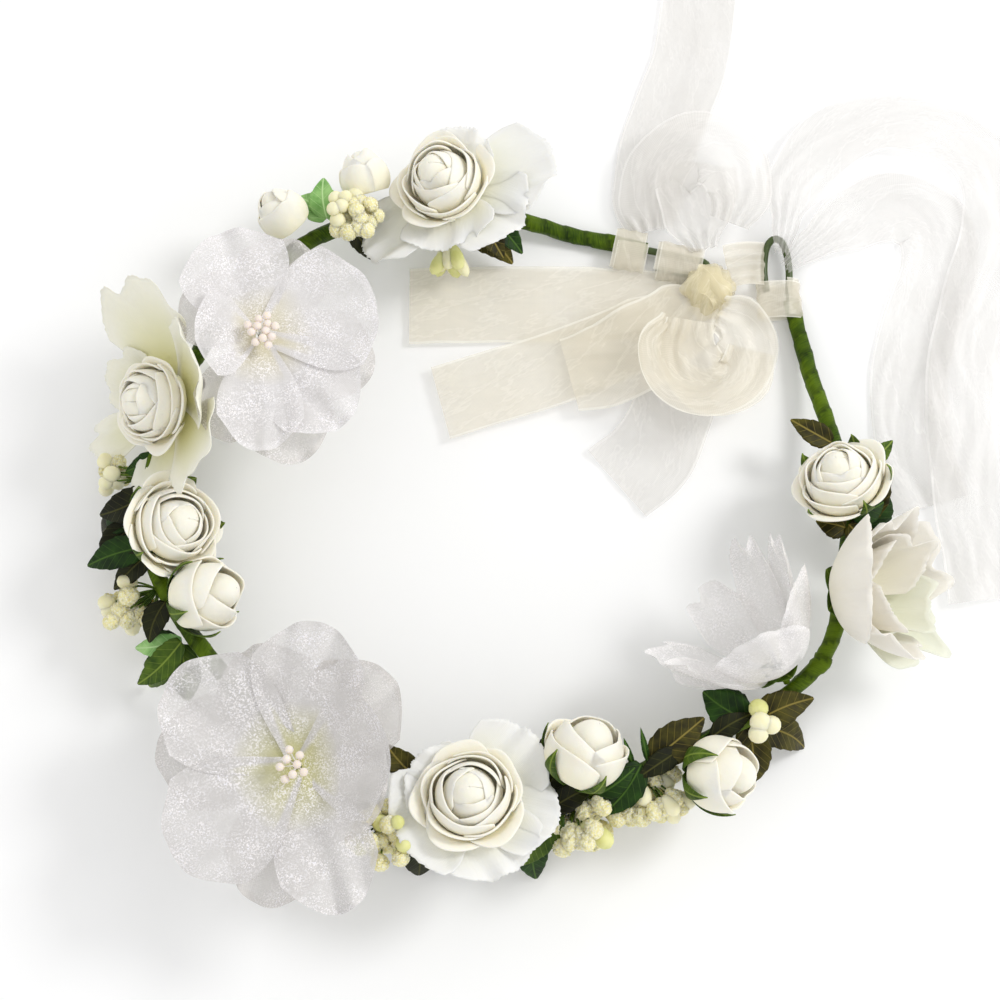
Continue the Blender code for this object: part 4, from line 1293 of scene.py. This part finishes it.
def studio():
    """The camera, one soft lamp, a white sky and a plain pale floor."""
    camera = new_object("camera", bpy.data.cameras.new("camera"))
    camera.data.lens = LENS_MM
    back = Vector((0, -cos(CAMERA_ELEVATION), sin(CAMERA_ELEVATION)))
    camera.location = AIM + back * CAMERA_DISTANCE
    camera.data.clip_start = NEAREST_SEEN
    bpy.context.scene.camera = camera
    lamp = bpy.data.lights.new("key_light", "AREA")
    lamp.shape, lamp.size, lamp.energy = "DISK", KEY_SIZE, KEY_POWER
    light = new_object("key_light", lamp)
    light.location = KEY_PLACE
    for obj in (camera, light):
        obj.rotation_euler = (AIM - obj.location).to_track_quat("-Z", "Y").to_euler()
    world = bpy.data.worlds.new("studio")
    world.use_nodes = True
    world.node_tree.nodes["Background"].inputs["Color"].default_value = (1, 1, 1, 1)
    world.node_tree.nodes["Background"].inputs["Strength"].default_value = SKY_STRENGTH
    bpy.context.scene.world = world
    bpy.context.scene.view_settings.view_transform = "Standard"
    mesh = bpy.data.meshes.new("floor")
    signs = ((-1, -1), (1, -1), (1, 1), (-1, 1))
    corners = [(x * FLOOR_SIZE / 2, y * FLOOR_SIZE / 2, FLOOR_HEIGHT) for x, y in signs]
    mesh.from_pydata(corners, [], [(0, 1, 2, 3)])
    mesh.materials.append(start_material("floor_paper", 0.85, Base_Color=FLOOR_COLOUR)[0])
    floor = new_object("floor", mesh)


# ---- the crown ----


ROSE_SIZES = {"top_rose": 0.95, "front_rose": 1, "left_rose": 1, "right_rose": 1}
TOP_BUD_SIZE = 0.94


def dress_crown():
    """Every piece of the crown, and the camera, light and floor."""
    studio()
    band()
    for seed, (node, run) in enumerate([*RIBBON_RUNS.items(), *BOW_FOLDS.items()]):
        ribbon(node, run, seed + 1)
    knot()
    for seed, name in enumerate(WRAPS):
        wrap(name, seed)
    sheer_flower("front_sheer", seed=101)
    sheer_flower("left_sheer", seed=151)
    silk_skirt("top_rose", seed=201)
    silk_skirt("front_rose", seed=221)
    open_flower("silk_left", SILK_LEFT, [GREEN_SILK], "green_silk", seed=300)
    foam_rose("silk_left_rose", "silk_left_calyx", ROSE_LAYERS, seed=31, size=1.12)
    silks = [CREAM_SILK, TINTED_SILK]
    open_flower("silk_right", SILK_RIGHT, silks, "white_silk", seed=400, wave=0.12, fray=0.15)
    sheer = [SHEER_WHITE]
    open_flower("side_organza", SIDE_ORGANZA, sheer, "sheer_organza", 500, wave=0.07, fray=0.15, thickness=0)
    for seed, (name, size) in enumerate(ROSE_SIZES.items()):
        foam_rose(name, name + "_calyx", ROSE_LAYERS, seed + 11, size)
    for seed, name in enumerate(("left_bud", "front_bud", "corner_bud")):
        foam_rose(name, name + "_calyx", BUD_LAYERS, seed + 21)
    for seed, node in enumerate(("top_bud_a", "top_bud_b")):
        foam_rose(node, "tape_wrap_main", CLOSED_LAYERS, seed + 41, TOP_BUD_SIZE)
    for seed, name in enumerate(("left_rose", "left_bud", "front_bud", "corner_bud", "right_rose")):
        calyx_piece(name, name, seed)
    for seed, name in enumerate(("top_rose", "front_rose")):
        calyx_piece(name, name + "_petals", seed + 10, radius_share=0.6, length=0.4, hugging=False)
    for seed, name in enumerate(("silk_left", "silk_right", "side_organza")):
        calyx_piece(name, name + "_petals", seed + 20, radius_share=0.7, length=0.35, hugging=False)
    for seed, node in enumerate(CLUSTERS):
        bud_cluster(node, seed * 13)
    for seed, node in enumerate(LEAF_SPRIGS):
        leaf_sprig(node, seed * 17)
    loose_leaves("band", seed=700)
    loose_leaves("right_arm", seed=750)


dress_crown()
bpy.context.view_layer.update()
